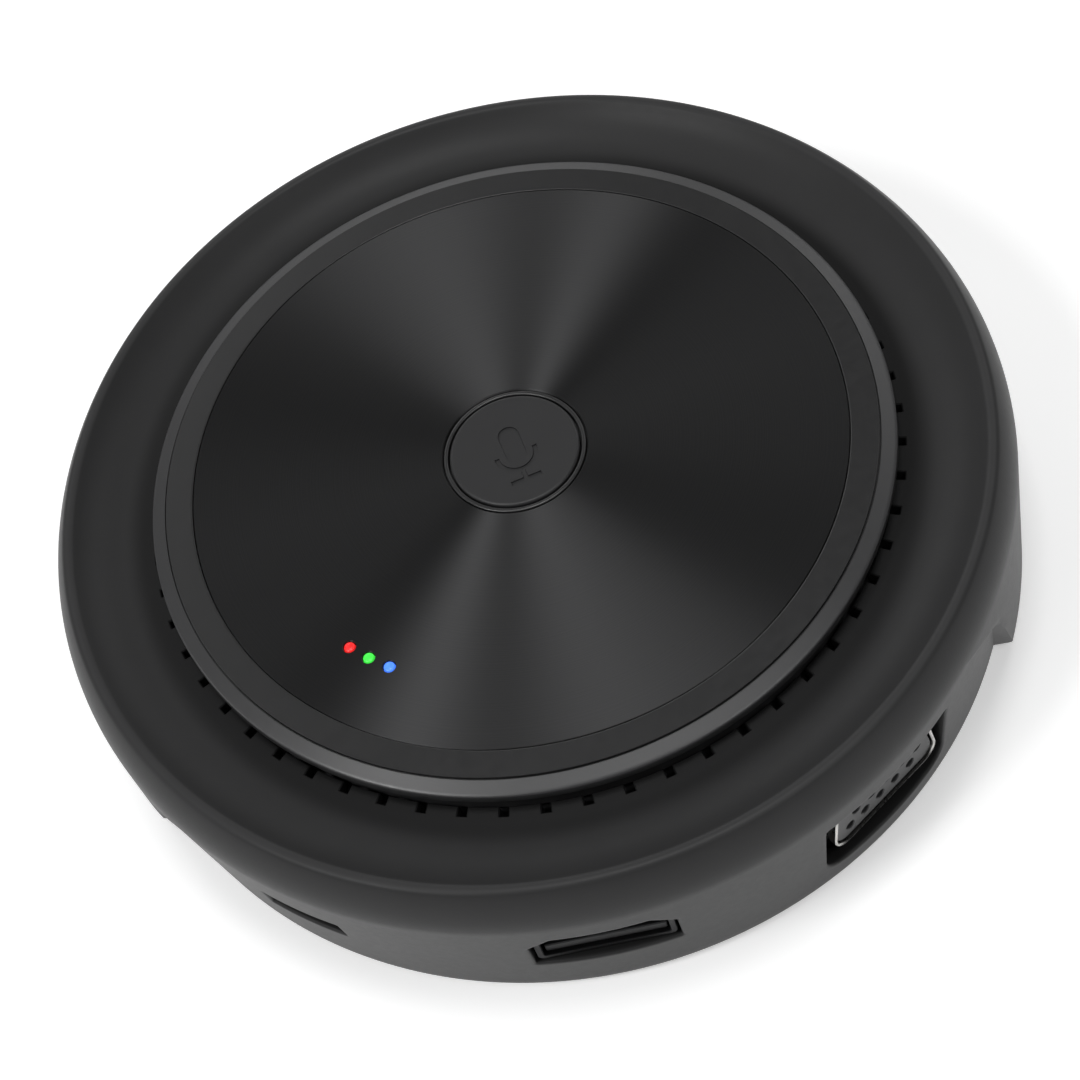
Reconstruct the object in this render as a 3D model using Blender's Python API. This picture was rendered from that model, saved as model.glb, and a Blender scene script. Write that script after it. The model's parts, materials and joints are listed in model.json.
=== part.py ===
"""Conference speakerphone: a round puck with a brushed disc, a centre button, a ring of sound vents,
a tapered port bay with VGA, HDMI and USB-C sockets, and an upward-firing speaker inside.

Frame: +Z up, origin at the centre of the foot's resting face, the port bay facing -Y."""

import math

import bmesh
import bpy
from mathutils import Matrix

MM = 0.001
FIT = 0.3 * MM  # clearance left between neighbouring pieces

# Driving dimensions
HOUSING_RADIUS = 55.0 * MM
DISC_TOP = 26.5 * MM
FOOT_DROP = 1.2 * MM
WALL = 2.0 * MM
DISC_RADIUS = 37.2 * MM
DISC_THICK = 0.8 * MM
BEZEL_RADIUS = 42.3 * MM
VENT_COUNT = 60
VENT_PHASE = 2.2  # degrees

# Outer bulge: a round shoulder whose centre is this far in and up
BULGE_RADIUS = 8.4 * MM
BULGE_CENTRE = (HOUSING_RADIUS - BULGE_RADIUS, 20.06 * MM)
RIDGE_ANGLE = 38.0  # degrees up the shoulder where the ridge begins
RIDGE_RADIUS = 1.0 * MM

# Dish between the bezel and the ridge: a flat lip, then an arc that runs into the ridge's rounding
LIP_RADIUS = 41.9 * MM
LIP_TOP = 22.7 * MM
LIP_UNDER = 21.1 * MM
DISH_START = (44.5 * MM, 22.55 * MM)
DISH_RADIUS = 10.79 * MM
DISH_END = -47.7  # degrees round the dish's arc where the ridge takes over

# Port bay: the wall leans inwards between two slanted ends
BAY_CENTRE = -90.0  # degrees
BAY_DEPTH = 2.03 * MM  # at the bottom rim
BAY_END = ((1.2, 64.5), (14.1, 59.6), (16.9, 56.2), (20.06, 50.0))  # height in mm, half angle in degrees
BAY_STEP = 0.8  # degrees over which the bay's end facet runs out

# Ports: facing angle in degrees, distance of the connector's face, height of its centre
VGA_AZIMUTH, VGA_FACE, VGA_HEIGHT, VGA_SHIFT = -53.0, 52.3 * MM, 10.1 * MM, 0.7 * MM
HDMI_AZIMUTH, HDMI_FACE, HDMI_HEIGHT = -90.0, 52.9 * MM, 12.05 * MM
USB_AZIMUTH, USB_FACE, USB_HEIGHT = -126.1, 51.7 * MM, 11.95 * MM

# Stack inside the case, from the top down
SHELF_UNDER = 24.2 * MM
TOP_BOARD_TOP = 23.2 * MM
TOP_BOARD_THICK = 0.8 * MM
CARRIER_TOP = 22.1 * MM
CARRIER_THICK = 0.8 * MM
BAFFLE_TOP = 19.9 * MM
BAFFLE_THICK = 1.0 * MM
MAIN_BOARD_TOP = 18.3 * MM
MAIN_BOARD_THICK = 1.6 * MM
FLANGE_TOP = 17.9 * MM
BASE_THICK = 2.0 * MM

FLEX_Y = 34.0 * MM
LED_RADIUS = 29.4 * MM
LED_ANGLES = {"red": -135.3, "green": -130.1, "blue": -124.9}
LED_COLOURS = {"red": (0.9, 0.03, 0.03), "green": (0.05, 0.9, 0.1), "blue": (0.1, 0.25, 0.95)}
BOSS_RADIUS = 46.3 * MM
BOSS_ANGLES = (-15.0, 50.0, 130.0, -165.0)
MICROPHONE_ANGLES = (0.0, 90.0, 180.0, 270.0)
CARRIER_SCREWS = (36.4 * MM, (30.0, 150.0, 270.0))
SPEAKER_SCREWS = (24.9 * MM, (45.0, 135.0, 225.0, 315.0))
BOARD_SCREWS = (32.5 * MM, (60.0, 180.0, 300.0))

BLACK_PLASTIC = ((0.03, 0.03, 0.032), 0.45, 0.0)
DARK_GLOSS = ((0.02, 0.02, 0.022), 0.2, 0.0)
ANODISED = ((0.06, 0.06, 0.065), 0.3, 1.0)
RUBBER = ((0.02, 0.02, 0.02), 0.9, 0.0)
STEEL = ((0.6, 0.6, 0.62), 0.3, 1.0)
DARK_NICKEL = ((0.1, 0.1, 0.102), 0.35, 1.0)
BOARD_GREEN = ((0.02, 0.12, 0.06), 0.5, 0.0)
FERRITE = ((0.07, 0.07, 0.075), 0.6, 0.0)
PAPER = ((0.05, 0.05, 0.05), 0.8, 0.0)
COPPER = ((0.7, 0.35, 0.15), 0.35, 1.0)
CHIP = ((0.015, 0.015, 0.015), 0.4, 0.0)
SPIDER_CLOTH = ((0.55, 0.4, 0.15), 0.9, 0.0)


def material(name, look):
    """A Principled material made once and shared by every piece with the same finish."""
    colour, roughness, metallic = look
    found = bpy.data.materials.get(name)
    if found:
        return found
    made = bpy.data.materials.new(name)
    made.use_nodes = True
    shader = made.node_tree.nodes["Principled BSDF"]
    shader.inputs["Base Color"].default_value = (*colour, 1.0)
    shader.inputs["Roughness"].default_value = roughness
    shader.inputs["Metallic"].default_value = metallic
    return made


def finish(name, mesh_builder, look_name, look, azimuth=0.0):
    """Turn a bmesh into a named object, shaded smooth where it is round."""
    bmesh.ops.recalc_face_normals(mesh_builder, faces=mesh_builder.faces)
    mesh = bpy.data.meshes.new(name)
    mesh_builder.to_mesh(mesh)
    mesh_builder.free()
    mesh.shade_smooth()
    mesh.set_sharp_from_angle(angle=math.radians(35.0))
    mesh.materials.append(material(look_name, look))
    made = bpy.data.objects.new(name, mesh)
    made.rotation_euler[2] = math.radians(azimuth)
    bpy.context.scene.collection.objects.link(made)
    return made


def turned_mesh(outline, steps, centre=(0.0, 0.0)):
    """Spin an outline of (radius, height) points about a vertical axis."""
    made = bmesh.new()
    points = [made.verts.new((radius, 0.0, height)) for radius, height in outline]
    for first, second in zip(points, points[1:] + points[:1]):
        if first.co.x > 0.0 or second.co.x > 0.0:
            made.edges.new((first, second))
    bmesh.ops.spin(
        made, geom=made.verts[:] + made.edges[:], cent=(0.0, 0.0, 0.0), axis=(0.0, 0.0, 1.0),
        angle=2.0 * math.pi, steps=steps, use_merge=True,
    )
    bmesh.ops.remove_doubles(made, verts=made.verts, dist=1e-7)
    bmesh.ops.translate(made, verts=made.verts, vec=(*centre, 0.0))
    return made


def turned(name, outline, look_name, look, steps=40, centre=(0.0, 0.0)):
    return finish(name, turned_mesh(outline, steps, centre), look_name, look)


def prism_mesh(outline, low, high):
    """Extrude a flat outline of (x, y) points from one height to another."""
    made = bmesh.new()
    face = made.faces.new([made.verts.new((x, y, low)) for x, y in outline])
    grown = bmesh.ops.extrude_face_region(made, geom=[face])["geom"]
    risen = [item for item in grown if isinstance(item, bmesh.types.BMVert)]
    bmesh.ops.translate(made, verts=risen, vec=(0.0, 0.0, high - low))
    return made


def slab_mesh(outline, near, far):
    """Extrude a flat outline of (y, z) points outwards along X."""
    made = bmesh.new()
    face = made.faces.new([made.verts.new((near, y, z)) for y, z in outline])
    grown = bmesh.ops.extrude_face_region(made, geom=[face])["geom"]
    risen = [item for item in grown if isinstance(item, bmesh.types.BMVert)]
    bmesh.ops.translate(made, verts=risen, vec=(far - near, 0.0, 0.0))
    return made


def box_mesh(low, high):
    outline = ((low[0], low[1]), (high[0], low[1]), (high[0], high[1]), (low[0], high[1]))
    return prism_mesh(outline, low[2], high[2])


def as_tool(mesh_builder, azimuth=0.0):
    """A hidden cutter or filler for a Boolean."""
    made = finish("tool", mesh_builder, "tool", BLACK_PLASTIC, azimuth)
    made.hide_render = True
    made.display_type = "WIRE"
    return made


def combine(target, tool, operation):
    step = target.modifiers.new(operation.lower(), "BOOLEAN")
    step.operation = operation
    step.solver = "EXACT"
    step.object = tool


def cut(target, mesh_builder, azimuth=0.0):
    combine(target, as_tool(mesh_builder, azimuth), "DIFFERENCE")


def join(target, mesh_builder, azimuth=0.0):
    combine(target, as_tool(mesh_builder, azimuth), "UNION")


def around(radius, angles):
    """Centres at a radius, one for each angle in degrees."""
    return [(radius * math.cos(math.radians(a)), radius * math.sin(math.radians(a))) for a in angles]


def rod_outline(radius, low, high):
    return ((0.0, low), (radius, low), (radius, high), (0.0, high))


def merged(builders):
    """Several separate closed shapes in one bmesh, for one Boolean."""
    whole = bmesh.new()
    for builder in builders:
        mesh = bpy.data.meshes.new("part_of_tool")
        builder.to_mesh(mesh)
        builder.free()
        whole.from_mesh(mesh)
        bpy.data.meshes.remove(mesh)
    return whole


def swung(builder, azimuth):
    """Turn a shape about the vertical axis, in degrees."""
    turn = Matrix.Rotation(math.radians(azimuth), 3, "Z")
    bmesh.ops.rotate(builder, verts=builder.verts, cent=(0.0, 0.0, 0.0), matrix=turn)
    return builder


def rods(centres, radius, low, high, steps=12):
    return merged([turned_mesh(rod_outline(radius, low, high), steps, centre) for centre in centres])


def arc(centre, radius, start, end, count):
    """Points along an arc from start to end, in degrees."""
    angles = [math.radians(start + (end - start) * i / (count - 1)) for i in range(count)]
    return [(centre[0] + radius * math.cos(a), centre[1] + radius * math.sin(a)) for a in angles]


# ---- Housing ---------------------------------------------------------------------------------

def bay_half_angle(height):
    """How far the port bay reaches either side of its centre at a height, in degrees."""
    level = height / MM
    for (low, wide), (high, narrow) in zip(BAY_END, BAY_END[1:]):
        if level <= high:
            return wide + (narrow - wide) * max(level - low, 0.0) / (high - low)
    return BAY_END[-1][1]


def bay_lean(height):
    """How far the bay's wall has leaned inwards at a height."""
    top = BULGE_CENTRE[1]
    return BAY_DEPTH * min(max((top - height) / (top - FOOT_DROP), 0.0), 1.0)


def ring_columns(height, in_bay, outside):
    """(azimuth, is_in_bay) columns round the wall, bunched at the bay's two slanted ends."""
    half = bay_half_angle(height)
    bay = [(BAY_CENTRE - half + 2.0 * half * i / in_bay, True) for i in range(in_bay + 1)]
    start, span = BAY_CENTRE + half + BAY_STEP, 360.0 - 2.0 * (half + BAY_STEP)
    return bay + [(start + span * i / outside, False) for i in range(outside + 1)]


def leaning_ring_mesh(outline, in_bay=25, outside=38):
    """A ring with this (radius, height) outline whose low wall leans inwards inside the bay."""
    made = bmesh.new()
    rings = []
    for radius, height in outline:
        ring = []
        for azimuth, is_bay in ring_columns(height, in_bay, outside):
            reach = radius - (bay_lean(height) if is_bay else 0.0)
            turn = math.radians(azimuth)
            ring.append(made.verts.new((reach * math.cos(turn), reach * math.sin(turn), height)))
        rings.append(ring)
    for upper, lower in zip(rings, rings[1:] + rings[:1]):
        for i in range(len(upper)):
            after = (i + 1) % len(upper)
            made.faces.new((upper[i], upper[after], lower[after], lower[i]))
    return made


def housing_outline():
    """The shell's section: vent lip, dish, ridge, round shoulder, wall, then back up inside."""
    ridge = math.radians(RIDGE_ANGLE)
    ridge_centre = (
        BULGE_CENTRE[0] + (BULGE_RADIUS - RIDGE_RADIUS) * math.cos(ridge),
        BULGE_CENTRE[1] + (BULGE_RADIUS - RIDGE_RADIUS) * math.sin(ridge),
    )
    dish_centre = (DISH_START[0], DISH_START[1] + DISH_RADIUS)
    dish = arc(dish_centre, DISH_RADIUS, -90.0, DISH_END, 6)[:-1]
    crest = arc(ridge_centre, RIDGE_RADIUS, 180.0 + DISH_END, RIDGE_ANGLE, 5)
    shoulder = arc(BULGE_CENTRE, BULGE_RADIUS, RIDGE_ANGLE - 10.0, 0.0, 4)
    wall = [(HOUSING_RADIUS, h * MM) for h in (16.9, 14.1)]
    rim = [(HOUSING_RADIUS, FOOT_DROP + 0.5 * MM), (HOUSING_RADIUS - 0.5 * MM, FOOT_DROP)]
    inner = HOUSING_RADIUS - WALL
    inside = [(inner, FOOT_DROP), (inner, 14.1 * MM), (inner, 16.9 * MM)]
    inside += arc(BULGE_CENTRE, BULGE_RADIUS - WALL, 0.0, 25.0, 3)
    under = [(50.9 * MM, 22.9 * MM), (47.6 * MM, LIP_UNDER), (LIP_RADIUS, LIP_UNDER)]
    return [(LIP_RADIUS, LIP_TOP)] + dish + crest + shoulder + wall + rim + inside + under


def vga_opening():
    half, low, high, corner = 9.3 * MM, 4.7 * MM, 16.3 * MM, 2.4 * MM
    left = arc((-half + corner, low + corner), corner, 180.0, 270.0, 4)
    right = arc((half - corner, low + corner), corner, 270.0, 360.0, 4)
    return left + right + [(half, high), (-half, high)]


def hdmi_opening():
    side, top = 7.9 * MM, 5.2 * MM
    low, shoulder, high = 8.7 * MM, 14.0 * MM, 16.4 * MM
    return [(-side, low), (side, low), (side, shoulder), (top, high), (-top, high), (-side, shoulder)]


def usb_opening():
    half, tall = 4.8 * MM, 1.75 * MM
    return [(-half, USB_HEIGHT - tall), (half, USB_HEIGHT - tall),
            (half, USB_HEIGHT + tall), (-half, USB_HEIGHT + tall)]


def vent_cutters():
    """Small slots through the inner lip of the dish, open to its edge."""
    depth, half = 1.4 * MM, 0.7 * MM
    slots = []
    for i in range(VENT_COUNT):
        slot = box_mesh((LIP_RADIUS - 1.0 * MM, -half, 20.0 * MM), (LIP_RADIUS + depth, half, 24.0 * MM))
        slots.append(swung(slot, VENT_PHASE + 360.0 * i / VENT_COUNT))
    return merged(slots)


def upper_housing():
    shell = finish("upper_housing", leaning_ring_mesh(housing_outline()), "housing", BLACK_PLASTIC)
    bosses = around(BOSS_RADIUS, BOSS_ANGLES)
    base_top = FOOT_DROP + BASE_THICK
    join(shell, rods(bosses, 2.9 * MM, base_top + FIT, 22.3 * MM))
    cut(shell, rods(bosses, 1.2 * MM, base_top - 1.0 * MM, 14.0 * MM))
    near, far = 44.0 * MM, 58.0 * MM
    cut(shell, slab_mesh(vga_opening(), near, far), VGA_AZIMUTH)
    cut(shell, slab_mesh(hdmi_opening(), near, far), HDMI_AZIMUTH)
    cut(shell, slab_mesh(usb_opening(), near, far), USB_AZIMUTH)
    cut(shell, vent_cutters())


def base_plate():
    """The floor, screwed up into the housing's bosses, with a groove for the foot."""
    inset = WALL + FIT
    outline = []
    for azimuth, is_bay in ring_columns(FOOT_DROP, 25, 38):
        reach = HOUSING_RADIUS - inset - (BAY_DEPTH if is_bay else 0.0)
        turn = math.radians(azimuth)
        outline.append((reach * math.cos(turn), reach * math.sin(turn)))
    body = prism_mesh(outline, FOOT_DROP, FOOT_DROP + BASE_THICK)
    plate = finish("base_plate", body, "base", BLACK_PLASTIC)
    groove = ((38.6 * MM, 0.0), (43.4 * MM, 0.0), (43.4 * MM, FOOT_DROP + 1.0 * MM),
              (38.6 * MM, FOOT_DROP + 1.0 * MM))
    cut(plate, turned_mesh(groove, 48))
    holes = around(BOSS_RADIUS, BOSS_ANGLES)
    cut(plate, rods(holes, 1.5 * MM, 0.0, 5.0 * MM))
    cut(plate, rods(holes, 2.4 * MM, 0.0, FOOT_DROP + 1.2 * MM))


def rubber_foot():
    inner, outer = 38.9 * MM, 43.1 * MM
    top, round_off = FOOT_DROP + 0.7 * MM, 0.4 * MM
    outline = ((inner, top), (inner, round_off), (inner + round_off, 0.0),
               (outer - round_off, 0.0), (outer, round_off), (outer, top))
    turned("rubber_foot", outline, "rubber", RUBBER, 48)


def screw(name, centre, head_low, head_high, head_radius, shank_radius, tip, steps=12):
    """A pan-head screw whose shank runs from the head to the tip, above or below it."""
    if tip > head_high:
        outline = ((0.0, head_low), (head_radius, head_low), (head_radius, head_high),
                   (shank_radius, head_high), (shank_radius, tip), (0.0, tip))
    else:
        outline = ((0.0, tip), (shank_radius, tip), (shank_radius, head_low),
                   (head_radius, head_low), (head_radius, head_high), (0.0, head_high))
    turned(name, outline, "screw", STEEL, steps, centre)


def base_screws():
    low = FOOT_DROP + 0.1 * MM
    for i, centre in enumerate(around(BOSS_RADIUS, BOSS_ANGLES), 1):
        screw(f"base_screw_{i}", centre, low, low + 0.8 * MM, 2.1 * MM, 0.9 * MM, 10.0 * MM)


# ---- Top: bezel, disc, button, lights -----------------------------------------------------------

def bezel():
    """Flat ring and chamfer round the disc, the shelf the disc sits on, and the neck below it."""
    shelf = DISC_TOP - DISC_THICK - FIT
    outline = (
        (DISC_RADIUS + 0.2 * MM, DISC_TOP), (40.4 * MM, DISC_TOP), (40.6 * MM, DISC_TOP - 0.25 * MM),
        (BEZEL_RADIUS, DISC_TOP - 0.85 * MM), (BEZEL_RADIUS, DISC_TOP - 1.2 * MM),
        (41.4 * MM, DISC_TOP - 1.6 * MM), (41.4 * MM, 21.3 * MM), (39.6 * MM, 21.3 * MM),
        (39.6 * MM, SHELF_UNDER), (33.0 * MM, SHELF_UNDER), (33.0 * MM, shelf),
        (DISC_RADIUS + 0.2 * MM, shelf),
    )
    turned("bezel", outline, "bezel", DARK_GLOSS, 64)


def brushed_disc():
    low = DISC_TOP - DISC_THICK
    hole = 8.25 * MM
    outline = ((hole, DISC_TOP), (DISC_RADIUS, DISC_TOP), (DISC_RADIUS, low), (hole, low))
    disc = turned("brushed_disc", outline, "disc", ANODISED, 64)
    cut(disc, rods(around(LED_RADIUS, LED_ANGLES.values()), 0.74 * MM, low - MM, DISC_TOP + MM))


def button():
    """Cap with a hidden flange under the disc, and the fine ring that frames it."""
    top, disc_under = DISC_TOP + 0.15 * MM, DISC_TOP - DISC_THICK
    flange_top = disc_under - FIT
    flange_low = flange_top - 0.4 * MM
    outline = ((0.0, flange_low), (8.8 * MM, flange_low), (8.8 * MM, flange_top), (7.4 * MM, flange_top),
               (7.4 * MM, top - 0.35 * MM), (7.1 * MM, top), (0.0, top))
    turned("button_cap", outline, "button", BLACK_PLASTIC, 48)
    ring = ((7.6 * MM, disc_under), (8.1 * MM, disc_under), (8.1 * MM, DISC_TOP), (7.6 * MM, DISC_TOP))
    turned("button_ring", ring, "bezel", DARK_GLOSS, 48)


def tact_switch():
    low, high = TOP_BOARD_TOP + FIT, TOP_BOARD_TOP + 1.0 * MM
    half = 2.6 * MM
    body = finish("tact_switch", box_mesh((-half, -half, low), (half, half, high)), "chip", CHIP)
    cut(body, turned_mesh(rod_outline(1.35 * MM, low - MM, high + MM), 16))
    cap_under = DISC_TOP - DISC_THICK - FIT - 0.4 * MM
    turned("tact_plunger", rod_outline(1.1 * MM, high - 0.3 * MM, cap_under - FIT), "plunger", DARK_GLOSS, 16)


def indicator_lights():
    """A lamp on the board and a clear pipe up to the disc's face, for each colour."""
    lamp_low, lamp_high = TOP_BOARD_TOP + FIT, TOP_BOARD_TOP + 0.8 * MM
    pipe_low, flange = lamp_high + FIT, DISC_TOP - DISC_THICK - FIT
    for colour, angle in LED_ANGLES.items():
        centre = around(LED_RADIUS, (angle,))[0]
        look = (LED_COLOURS[colour], 0.3, 0.0)
        outline = ((0.0, pipe_low), (1.0 * MM, pipe_low), (1.0 * MM, flange), (0.62 * MM, flange),
                   (0.62 * MM, DISC_TOP), (0.0, DISC_TOP))
        turned(f"light_pipe_{colour}", outline, f"light_{colour}", look, 12, centre)
        x, half = LED_RADIUS, 0.6 * MM
        lamp = box_mesh((x - half, -half, lamp_low), (x + half, half, lamp_high))
        finish(f"led_{colour}", lamp, f"light_{colour}", look, angle)


def top_board():
    low = TOP_BOARD_TOP - TOP_BOARD_THICK
    board = turned("top_board", rod_outline(33.2 * MM, low, TOP_BOARD_TOP), "board", BOARD_GREEN, 48)
    notch = box_mesh((-5.0 * MM, 31.5 * MM, low - MM), (5.0 * MM, 36.0 * MM, TOP_BOARD_TOP + MM))
    cut(board, notch)


def microphones():
    low = TOP_BOARD_TOP + FIT
    x = 24.0 * MM
    for i, angle in enumerate(MICROPHONE_ANGLES, 1):
        can = box_mesh((x - 1.3 * MM, -1.9 * MM, low), (x + 1.3 * MM, 1.9 * MM, low + 1.0 * MM))
        finish(f"microphone_{i}", can, "can", STEEL, angle)


def carrier():
    """Plate under the bezel that holds the top board, on three screwed pillars."""
    low = CARRIER_TOP - CARRIER_THICK
    plate = turned("carrier", rod_outline(39.3 * MM, low, CARRIER_TOP), "inner_plastic", CHIP, 48)
    radius, angles = CARRIER_SCREWS
    join(plate, rods(around(radius, angles), 2.4 * MM, BAFFLE_TOP + FIT, CARRIER_TOP - 0.2 * MM))
    cut(plate, rods(around(radius, angles), 1.1 * MM, 18.0 * MM, 24.0 * MM))
    cut(plate, flex_slot())
    for i, centre in enumerate(around(radius, angles), 1):
        head = CARRIER_TOP + FIT
        screw(f"carrier_screw_{i}", centre, head, head + 0.8 * MM, 1.7 * MM, 0.8 * MM, 19.0 * MM, 10)


def flex_slot():
    return box_mesh((-4.6 * MM, FLEX_Y - 0.6 * MM, 16.0 * MM), (4.6 * MM, FLEX_Y + 0.9 * MM, 24.0 * MM))


def flex_cable():
    """Flat cable that joins the top board to the main board."""
    high = TOP_BOARD_TOP
    thick, fold, foot = 0.3 * MM, 3.4 * MM, MAIN_BOARD_TOP + FIT
    outline = ((FLEX_Y, foot), (FLEX_Y + thick, foot), (FLEX_Y + thick, high + FIT + thick),
               (FLEX_Y - fold, high + FIT + thick), (FLEX_Y - fold, high + FIT), (FLEX_Y, high + FIT))
    finish("flex_cable", slab_mesh(outline, -4.0 * MM, 4.0 * MM), "flex", COPPER)


# ---- Speaker ------------------------------------------------------------------------------------

def acoustic_baffle():
    """Divides the sound path to the vents from the volume behind the speaker."""
    low = BAFFLE_TOP - BAFFLE_THICK
    outline = ((23.2 * MM, low), (50.3 * MM, low), (50.3 * MM, BAFFLE_TOP), (23.2 * MM, BAFFLE_TOP))
    baffle = turned("acoustic_baffle", outline, "inner_plastic", CHIP, 48)
    bosses = rods(around(BOSS_RADIUS, BOSS_ANGLES), 3.3 * MM, low - MM, BAFFLE_TOP + MM)
    edges = rods(around(BOSS_RADIUS + 3.0 * MM, BOSS_ANGLES), 3.3 * MM, low - MM, BAFFLE_TOP + MM)
    cut(baffle, bosses)
    cut(baffle, edges)
    holes = []
    for radius, angles in (CARRIER_SCREWS, SPEAKER_SCREWS, BOARD_SCREWS):
        holes += around(radius, angles)
    cut(baffle, rods(holes, 1.1 * MM, low - MM, BAFFLE_TOP + MM))
    cut(baffle, flex_slot())


def speaker_screws():
    radius, angles = SPEAKER_SCREWS
    head = BAFFLE_TOP + FIT
    for i, centre in enumerate(around(radius, angles), 1):
        screw(f"speaker_screw_{i}", centre, head, head + 0.7 * MM, 1.6 * MM, 0.8 * MM, 15.9 * MM, 10)


def speaker_frame():
    """Pressed basket: flange, windowed cone, spider ledge and base ring."""
    top = FLANGE_TOP
    outline = ((26.6 * MM, top), (26.6 * MM, top - MM), (23.4 * MM, top - MM), (17.2 * MM, 12.4 * MM),
               (8.4 * MM, 12.4 * MM), (8.4 * MM, 13.0 * MM), (14.2 * MM, 13.0 * MM), (14.2 * MM, 13.7 * MM),
               (16.3 * MM, 13.7 * MM), (22.4 * MM, 17.3 * MM), (22.4 * MM, top))
    frame = turned("speaker_frame", outline, "steel", STEEL, 36)
    window = box_mesh((17.6 * MM, -5.0 * MM, 13.9 * MM), (24.0 * MM, 5.0 * MM, 16.0 * MM))
    cut(frame, merged([swung(window.copy(), angle) for angle in (0.0, 90.0, 180.0, 270.0)]))
    window.free()
    radius, angles = SPEAKER_SCREWS
    cut(frame, rods(around(radius, angles), 1.1 * MM, top - 2.0 * MM, top + MM))


def speaker_motor():
    """Ring magnet between a top plate and a yoke whose pole stands up the middle."""
    ring = ((7.8 * MM, 6.6 * MM), (15.0 * MM, 6.6 * MM), (15.0 * MM, 10.6 * MM), (7.8 * MM, 10.6 * MM))
    turned("speaker_magnet", ring, "ferrite", FERRITE, 36)
    plate = ((7.4 * MM, 10.9 * MM), (14.2 * MM, 10.9 * MM), (14.2 * MM, 12.1 * MM), (7.4 * MM, 12.1 * MM))
    turned("speaker_top_plate", plate, "steel", STEEL, 36)
    yoke = ((0.0, 4.8 * MM), (14.2 * MM, 4.8 * MM), (14.2 * MM, 6.3 * MM), (5.9 * MM, 6.3 * MM),
            (5.9 * MM, 12.1 * MM), (0.0, 12.1 * MM))
    turned("speaker_yoke", yoke, "steel", STEEL, 36)


def speaker_moving_parts():
    coil = ((6.4 * MM, 7.9 * MM), (6.9 * MM, 7.9 * MM), (6.9 * MM, 15.2 * MM), (6.4 * MM, 15.2 * MM))
    turned("voice_coil", coil, "coil", COPPER, 36)
    inner, outer = (7.2 * MM, 14.8 * MM), (19.6 * MM, 17.8 * MM)
    thick = 0.4 * MM
    cone = (inner, outer, (outer[0], outer[1] + thick), (inner[0], inner[1] + thick))
    turned("speaker_cone", cone, "cone", PAPER, 40)
    rim, crown = 8.2 * MM, 2.0 * MM
    cap = [(rim * math.sin(a), 15.8 * MM + crown * math.cos(a)) for a in (0.0, 0.5, 1.0, math.pi / 2.0)]
    inside = [((rim - thick) * math.sin(a), 15.8 * MM + (crown - thick) * math.cos(a))
              for a in (math.pi / 2.0, 1.0, 0.5, 0.0)]
    turned("dust_cap", cap + inside, "cone", PAPER, 28)


def half_roll(inner, outer, height, thick):
    """A half-round roll with a flat land on each side."""
    middle, radius = (inner + outer) / 2.0, 0.9 * MM
    top = arc((middle, height + thick), radius, 180.0, 0.0, 5)
    under = arc((middle, height), radius - thick, 0.0, 180.0, 4)
    return ([(inner, height), (inner, height + thick)] + top
            + [(outer, height + thick), (outer, height)] + under)


def speaker_suspension():
    turned("speaker_surround", half_roll(19.9 * MM, 22.9 * MM, 18.2 * MM, 0.35 * MM), "rubber", RUBBER, 32)
    inner, outer, low, thick, waves = 7.2 * MM, 16.0 * MM, 14.0 * MM, 0.3 * MM, 5
    radii = [inner + (outer - inner) * i / waves for i in range(waves + 1)]
    lower = [(radius, low + (0.2 * MM if i % 2 else 0.0)) for i, radius in enumerate(radii)]
    upper = [(radius, height + thick) for radius, height in reversed(lower)]
    turned("speaker_spider", lower + upper, "spider", SPIDER_CLOTH, 28)
    gasket = ((23.3 * MM, 18.2 * MM), (23.8 * MM, 18.2 * MM), (23.8 * MM, 18.6 * MM), (23.3 * MM, 18.6 * MM))
    turned("speaker_gasket", gasket, "rubber", RUBBER, 36)


# ---- Main board and ports -----------------------------------------------------------------------

def main_board():
    """Ring-shaped board above the connectors, cut back round the housing's bosses."""
    low = MAIN_BOARD_TOP - MAIN_BOARD_THICK
    outline = ((28.2 * MM, low), (50.0 * MM, low), (50.0 * MM, MAIN_BOARD_TOP), (28.2 * MM, MAIN_BOARD_TOP))
    board = turned("main_board", outline, "board", BOARD_GREEN, 44)
    cut(board, rods(around(BOSS_RADIUS, BOSS_ANGLES), 4.0 * MM, low - MM, MAIN_BOARD_TOP + MM))
    radius, angles = BOARD_SCREWS
    cut(board, rods(around(radius, angles), 1.1 * MM, low - MM, MAIN_BOARD_TOP + MM))
    for i, centre in enumerate(around(radius, angles), 1):
        head = low - FIT
        screw(f"board_screw_{i}", centre, head - 0.8 * MM, head, 1.7 * MM, 0.8 * MM, 19.7 * MM, 10)


def board_parts():
    """Processor, and the shield can with its chip, on the board's underside."""
    under = MAIN_BOARD_TOP - MAIN_BOARD_THICK - FIT
    x = 38.5 * MM
    chip = box_mesh((x - 4.5 * MM, -4.5 * MM, under - MM), (x + 4.5 * MM, 4.5 * MM, under))
    finish("processor", chip, "chip", CHIP, 150.0)
    half, deep, wall = 7.0 * MM, 2.4 * MM, 0.4 * MM
    tray = box_mesh((x - half, -half, under - deep), (x + half, half, under))
    can = finish("shield_can", tray, "can", STEEL, 25.0)
    hollow = half - wall
    cut(can, box_mesh((x - hollow, -hollow, under - deep + wall), (x + hollow, hollow, under + MM)), 25.0)
    radio = box_mesh((x - 3.5 * MM, -3.5 * MM, under - 1.2 * MM), (x + 3.5 * MM, 3.5 * MM, under))
    finish("video_chip", radio, "chip", CHIP, 25.0)


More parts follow.
